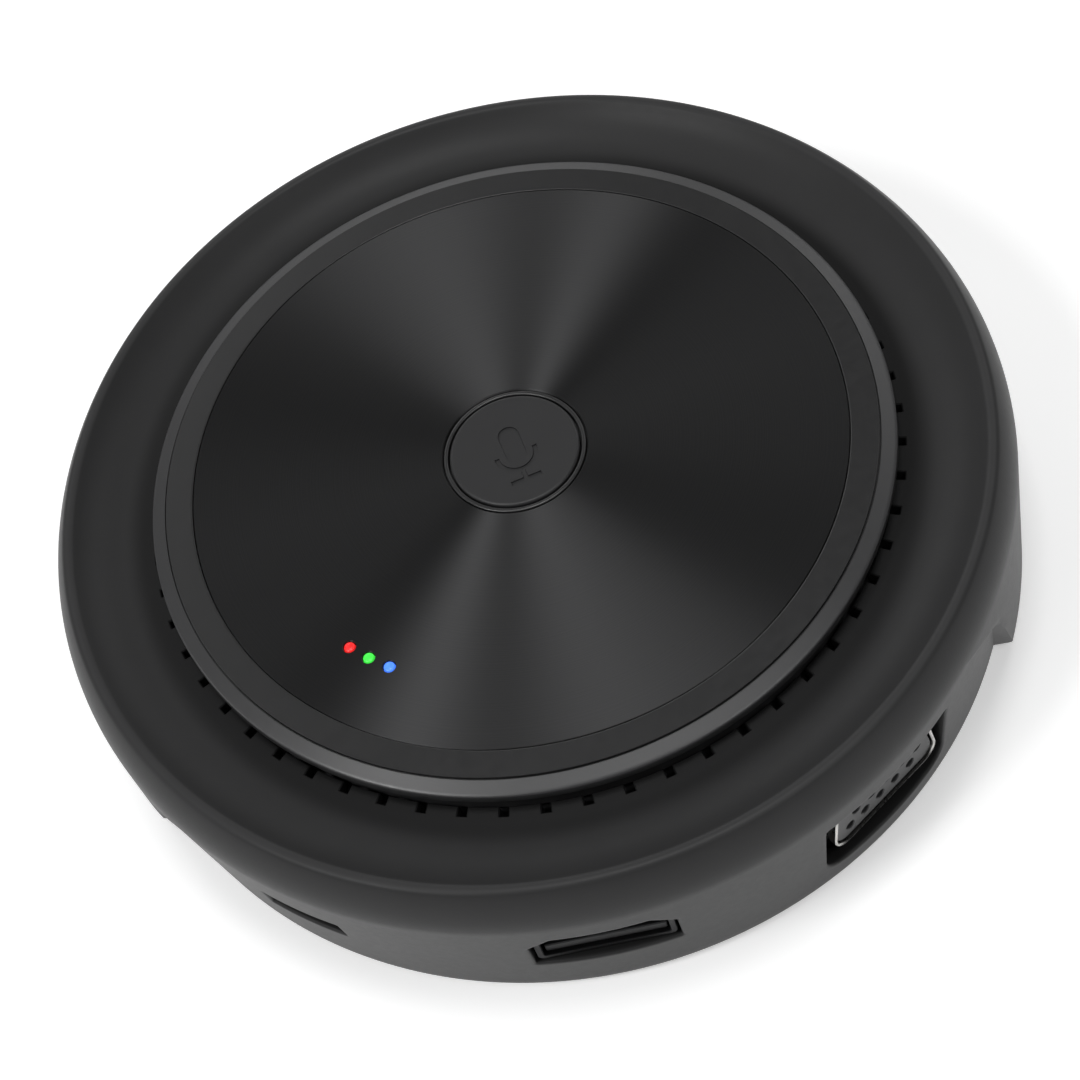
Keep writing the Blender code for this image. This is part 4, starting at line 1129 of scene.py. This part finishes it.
def screw(name, look):
    """Pan-head screw with a cross recess and a cut thread, standing as its CAD node does."""
    (low_x, low_y, low_z), (high_x, _, high_z) = [[c / MM for c in corner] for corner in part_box(name)]
    head = 0.5 * (high_x - low_x)
    centre = (low_x + head, low_y + head)
    head_tall, shank, up = SCREWS[name.split("_")[0]]
    long = high_z - low_z - head_tall
    side = [(0.0, 0.0)] + [(0.75 * head, 0.0), (0.93 * head, 0.1 * head_tall), (head, 0.4 * head_tall),
                           (head, head_tall), (shank, head_tall)]
    step = 0.35
    turns = int((long - 0.5) / step)
    for i in range(turns):
        start = head_tall + 0.15 + i * step
        side += [(0.78 * shank, start), (shank, start + 0.4 * step), (shank, start + 0.5 * step),
                 (0.78 * shank, start + 0.9 * step)]
    side += [(0.7 * shank, head_tall + long - 0.15), (0.4 * shank, head_tall + long), (0.0, head_tall + long)]
    outline = [(r, low_z + t) if up else (r, high_z - t) for r, t in side]
    made = piece(f"threaded_{name}", turned(outline, 32, centre), look, "case", "screw", name)
    tools = Shape()
    arm, half = 0.62 * head, 0.13 * head
    near, far = (low_z - 1.0, low_z + 0.6 * head_tall) if up else (high_z + 1.0, high_z - 0.6 * head_tall)
    cross = [(arm, -half), (arm, half), (half, half), (half, arm), (-half, arm), (-half, half), (-arm, half),
             (-arm, -half), (-half, -half), (-half, -arm), (half, -arm), (half, -half)]
    tools.body([(centre[0] + x * share, centre[1] + y * share, height) for x, y in cross]
               for height, share in ((near, 1.0), (far, 0.7)))
    carve(made, tools)
    return made


# ---- Speaker, inside the case --------------------------------------------------------------------

def chamfered(inner, outer, low, high, edge):
    """Section of a ring with its four edges broken."""
    return [(inner + edge, low), (outer - edge, low), (outer, low + edge), (outer, high - edge),
            (outer - edge, high), (inner + edge, high), (inner, high - edge), (inner, low + edge)]


def speaker_motor(looks):
    """Ring magnet between a top plate and the yoke with its pole."""
    steel = looks["speaker_steel"]
    magnet = turned(chamfered(7.8, 15.0, 6.6, 10.6, 0.3), 96)
    piece("ring_magnet", magnet, looks["ferrite"], "case", "ferrite", "speaker_magnet")
    plate = turned(chamfered(7.4, 14.2, 10.9, 12.1, 0.15), 96)
    piece("top_plate", plate, steel, "case", "speaker_steel", "speaker_top_plate")
    yoke = [(0.0, 4.8), (13.9, 4.8), (14.2, 5.1), (14.2, 6.05), (13.95, 6.3), (6.3, 6.3), (5.9, 6.7),
            (5.9, 11.75), (5.55, 12.1), (1.1, 12.1), (0.8, 11.8), (0.0, 11.8)]
    piece("yoke_and_pole", turned(yoke, 96), steel, "case", "speaker_steel", "speaker_yoke")


def speaker_basket(look):
    """Pressed basket with rounded bends, four windows and its screw holes."""
    outline = [(26.5, 17.9), (26.6, 17.8), (26.6, 17.0), (26.5, 16.9), (23.7, 16.9), (23.3, 16.75),
               (17.5, 12.6), (17.0, 12.4), (8.5, 12.4), (8.4, 12.5), (8.4, 12.9), (8.5, 13.0), (14.0, 13.0),
               (14.2, 13.2), (14.2, 13.6), (14.3, 13.7), (16.1, 13.7), (16.4, 13.8), (22.2, 17.15),
               (22.4, 17.45), (22.4, 17.8), (22.5, 17.9)]
    made = piece("pressed_basket", turned(outline, 112), look, "case", "speaker_steel", "speaker_frame")
    window = bar(5.0, 13.9, 16.0, 0.8, 6)
    for angle in (0.0, 90.0, 180.0, 270.0):
        carve(made, swung(extruded(window, 17.6, 24.0), angle))
    holes = Shape()
    for angle in (45.0, 135.0, 225.0, 315.0):
        centre = spot(24.9, angle)
        turned([(0.0, 15.9), (1.1, 15.9), (1.1, 18.9), (0.0, 18.9)], 28, centre, holes)
    carve(made, holes)
    return made


def speaker_cone(looks):
    """Bowed cone with three pressed ribs, its dust cap, and the coil wound on its former."""
    upper = []
    for i in range(49):
        share = i / 48
        ribs = sum(0.09 * math.exp(-((share - at) / 0.022) ** 2) for at in (0.3, 0.55, 0.8))
        upper.append((7.2 + 12.4 * share, 15.2 + 3.0 * share - 0.18 * math.sin(math.pi * share) + ribs))
    lower = [(r, z - 0.4) for r, z in reversed(upper)]
    piece("paper_cone", turned(upper + lower, 144), looks["cone"], "cone", "cone", "speaker_cone")
    turns = [0.5 * math.pi * i / 16 for i in range(17)]
    cap = [(8.2 * math.sin(a), 15.8 + 2.0 * math.cos(a)) for a in turns]
    cap += [(7.8 * math.sin(a), 15.8 + 1.6 * math.cos(a)) for a in reversed(turns)]
    piece("domed_dust_cap", turned(cap, 112), looks["cone"], "cone", "cone", "dust_cap")
    coil = [(6.4, 7.9), (6.6, 7.9)]
    for i in range(13):
        low = 8.0 + 0.34 * i
        coil += [(6.6, low), (6.82, low + 0.05), (6.9, low + 0.17), (6.82, low + 0.29)]
    coil += [(6.6, 12.45), (6.6, 15.2), (6.4, 15.2)]
    piece("wound_coil", turned(coil, 96), looks["coil"], "cone", "coil", "voice_coil")


def speaker_suspension(looks):
    """Half-roll surround, corrugated spider and the gasket round the rim."""
    over = arc((21.4, 18.55), 0.9, 180.0, 0.0, 20)
    under = arc((21.4, 18.2), 0.55, 0.0, 180.0, 16)
    roll = [(19.9, 18.2), (19.9, 18.55)] + over + [(22.9, 18.55), (22.9, 18.2)] + under
    piece("roll_surround", turned(roll, 144), looks["rubber"], "case", "rubber", "speaker_surround")
    wave = []
    for i in range(61):
        share = i / 60
        sag = 0.95 * (1.0 - share) ** 2
        wave.append((7.2 + 8.8 * share, 14.1 - sag - 0.1 * math.cos(10.0 * math.pi * share)))
    web = wave + [(r, z + 0.3) for r, z in reversed(wave)]
    piece("corrugated_spider", turned(web, 112), looks["spider"], "case", "spider", "speaker_spider")
    gasket = turned(chamfered(23.3, 23.8, 18.2, 18.6, 0.08), 112)
    piece("rim_gasket", gasket, looks["rubber"], "case", "rubber", "speaker_gasket")


# ---- Ports ---------------------------------------------------------------------------------------

def d_outline(inset, corner):
    """VGA's D-shaped outline, its wide side down."""
    half, top = 8.45 - inset, 7.2 - inset
    low, high = VGA_HEIGHT - 4.18 + inset, VGA_HEIGHT + 4.18 - inset
    corners = ((-half, low, corner), (half, low, corner), (top, high, corner), (-top, high, corner))
    return [(y + VGA_SHIFT, z) for y, z in rounded(corners, 8)]


def vga_port(looks):
    """DE-15 socket: drawn D shell round an insert with fifteen round holes, each with its contact."""
    face, depth, skin = VGA_FACE, 6.0, 0.4
    shell = tube(d_outline(0.0, 2.2), d_outline(skin, 1.8), face - depth, face, 0.09)
    piece("vga_drawn_shell", swung(shell, VGA_AZIMUTH), looks["nickel"], "case", "nickel", "vga_shell")
    front, rear = face - 0.3, face - depth - 0.3
    body = extruded(d_outline(skin + 0.15, 1.65), rear, front, 0.1)
    made = piece("vga_face", swung(body, VGA_AZIMUTH), looks["insert"], "case", "insert", "vga_insert")
    side = oblong(VGA_SHIFT - 8.6, VGA_SHIFT + 8.6, VGA_HEIGHT - 4.18, BOARD_UNDER)
    block = extruded(side, 38.0, rear + 0.01)
    tools, sleeves = Shape(), Shape()
    for line in (-1, 0, 1):
        stagger = 0.25 if line == 0 else -0.25
        for place in range(-2, 3):
            y, z = (place + stagger) * 2.4 + VGA_SHIFT, VGA_HEIGHT + 1.9 * line
            hole = [(0.0, -3.0), (0.62, -3.0), (0.62, -0.1), (0.76, 0.06), (0.76, 0.5), (0.0, 0.5)]
            pin = [(0.22, -2.9), (0.40, -2.9), (0.40, -1.3), (0.34, -1.24), (0.28, -1.24), (0.22, -1.3)]
            for target, line_points in ((tools, hole), (sleeves, pin)):
                start = len(target.points)
                turned(line_points, 20, (0.0, 0.0), target)
                target.points[start:] = [(front + c, a + y, b + z) for a, b, c in target.points[start:]]
    carve(made, swung(tools, VGA_AZIMUTH))
    carve(made, swung(block, VGA_AZIMUTH), "UNION")
    piece("vga_contacts", swung(sleeves, VGA_AZIMUTH), looks["nickel"], "case", "nickel")


def hdmi_outline(inset, radius):
    side, top = 7.55 - inset, 5.4 - 0.7 * inset
    low, high = HDMI_HEIGHT - 3.0 + inset, HDMI_HEIGHT + 3.0 - inset
    shoulder = HDMI_HEIGHT + 1.0
    corners = ((-side, low, radius), (side, low, radius), (side, shoulder, 1.5 * radius),
               (top, high, 1.5 * radius), (-top, high, 1.5 * radius), (-side, shoulder, 1.5 * radius))
    return rounded(corners, 5)


def hdmi_port(looks):
    """HDMI-size socket: folded shell, plastic body and a tongue with a row of contacts on each face."""
    face, depth, skin = HDMI_FACE, 10.5, 0.35
    shell = tube(hdmi_outline(0.0, 0.8), hdmi_outline(skin, 0.6), face - depth, face, 0.08, 0.35)
    piece("hdmi_folded_shell", swung(shell, HDMI_AZIMUTH), looks["dark_nickel"], "case", "dark_nickel",
          "hdmi_shell")
    front = face - 8.0
    body = extruded(hdmi_outline(skin + 0.3, 0.2), face - depth, front, 0.05)
    made = piece("hdmi_body", swung(body, HDMI_AZIMUTH), looks["base"], "case", "insert", "hdmi_insert")
    wide, low, high = 6.6, HDMI_HEIGHT - 2.35, HDMI_HEIGHT - 0.95
    tongue = extruded(bar(wide, low, high, 0.15), front - 1.0, face - 0.5, 0.12)
    carve(made, swung(tongue, HDMI_AZIMUTH), "UNION")
    strips = Shape()
    for i in range(19):
        y, z = (i - 9) * 0.5, high if i % 2 else low
        extruded(oblong(y - 0.13, y + 0.13, z - 0.05, z + 0.05), front - 0.5, face - 1.6, 0.03, strips)
    piece("hdmi_contacts", swung(strips, HDMI_AZIMUTH), looks["nickel"], "case", "nickel")


def obround(inset):
    wide, tall = 4.47 - inset, 1.63 - inset
    reach = wide - tall
    right = arc((reach, USB_HEIGHT), tall, -90.0, 90.0, 14)
    return right + arc((-reach, USB_HEIGHT), tall, 90.0, 270.0, 14)


def usb_port(looks):
    """USB-C socket: drawn shell with a thin tongue and its contacts, on a riser."""
    face, depth, skin = USB_FACE, 8.0, 0.25
    shell = tube(obround(0.0), obround(skin), face - depth, face, 0.07)
    piece("usb_c_drawn_shell", swung(shell, USB_AZIMUTH), looks["dark_nickel"], "case", "dark_nickel",
          "usb_c_shell")
    front, rear = face - 6.2, face - depth - 0.6
    body = extruded(obround(skin + 0.3), rear, front, 0.05)
    made = piece("usb_c_body", swung(body, USB_AZIMUTH), looks["base"], "case", "insert", "usb_c_insert")
    tongue = bar(3.3, USB_HEIGHT - 0.35, USB_HEIGHT + 0.35, 0.1)
    carve(made, swung(extruded(tongue, front - 1.0, face - 0.6, 0.08), USB_AZIMUTH), "UNION")
    riser = oblong(-4.4, 4.4, USB_HEIGHT - 1.63, BOARD_UNDER)
    carve(made, swung(extruded(riser, rear - 2.0, rear + 0.2), USB_AZIMUTH), "UNION")
    strips = Shape()
    for side in (-1, 1):
        for i in range(12):
            y, z = (i - 5.5) * 0.5, USB_HEIGHT + side * 0.35
            extruded(oblong(y - 0.12, y + 0.12, z - 0.03, z + 0.03), front - 0.5, face - 1.3, 0.02, strips)
    piece("usb_c_contacts", swung(strips, USB_AZIMUTH), looks["nickel"], "case", "nickel")


# ---- The scene -----------------------------------------------------------------------------------

def paint_frame(looks):
    """Give every CAD node the look of its material slot."""
    for entry in frame["record"]["subparts"]:
        mesh = frame["nodes"][entry["node"]].data
        mesh.materials.clear()
        mesh.materials.append(looks[entry["material_slot"]])


def build():
    bpy.context.scene.view_settings.view_transform = "Standard"
    looks = all_looks()
    paint_frame(looks)
    housing(looks["housing"])
    bosses(looks["housing"])
    bezel(looks["bezel"])
    disc(looks["disc"])
    button_cap(looks["button"])
    button_ring(looks["bezel"])
    light_pipes(looks)
    base_plate(looks["base"])
    foot(looks["rubber"])
    for kind, count in SCREW_COUNTS.items():
        for i in range(1, count + 1):
            screw(f"{kind}_screw_{i}", looks["screw"])
    speaker_motor(looks)
    speaker_basket(looks["speaker_steel"])
    speaker_cone(looks)
    speaker_suspension(looks)
    vga_port(looks)
    hdmi_port(looks)
    usb_port(looks)
    camera()
    studio()


build()
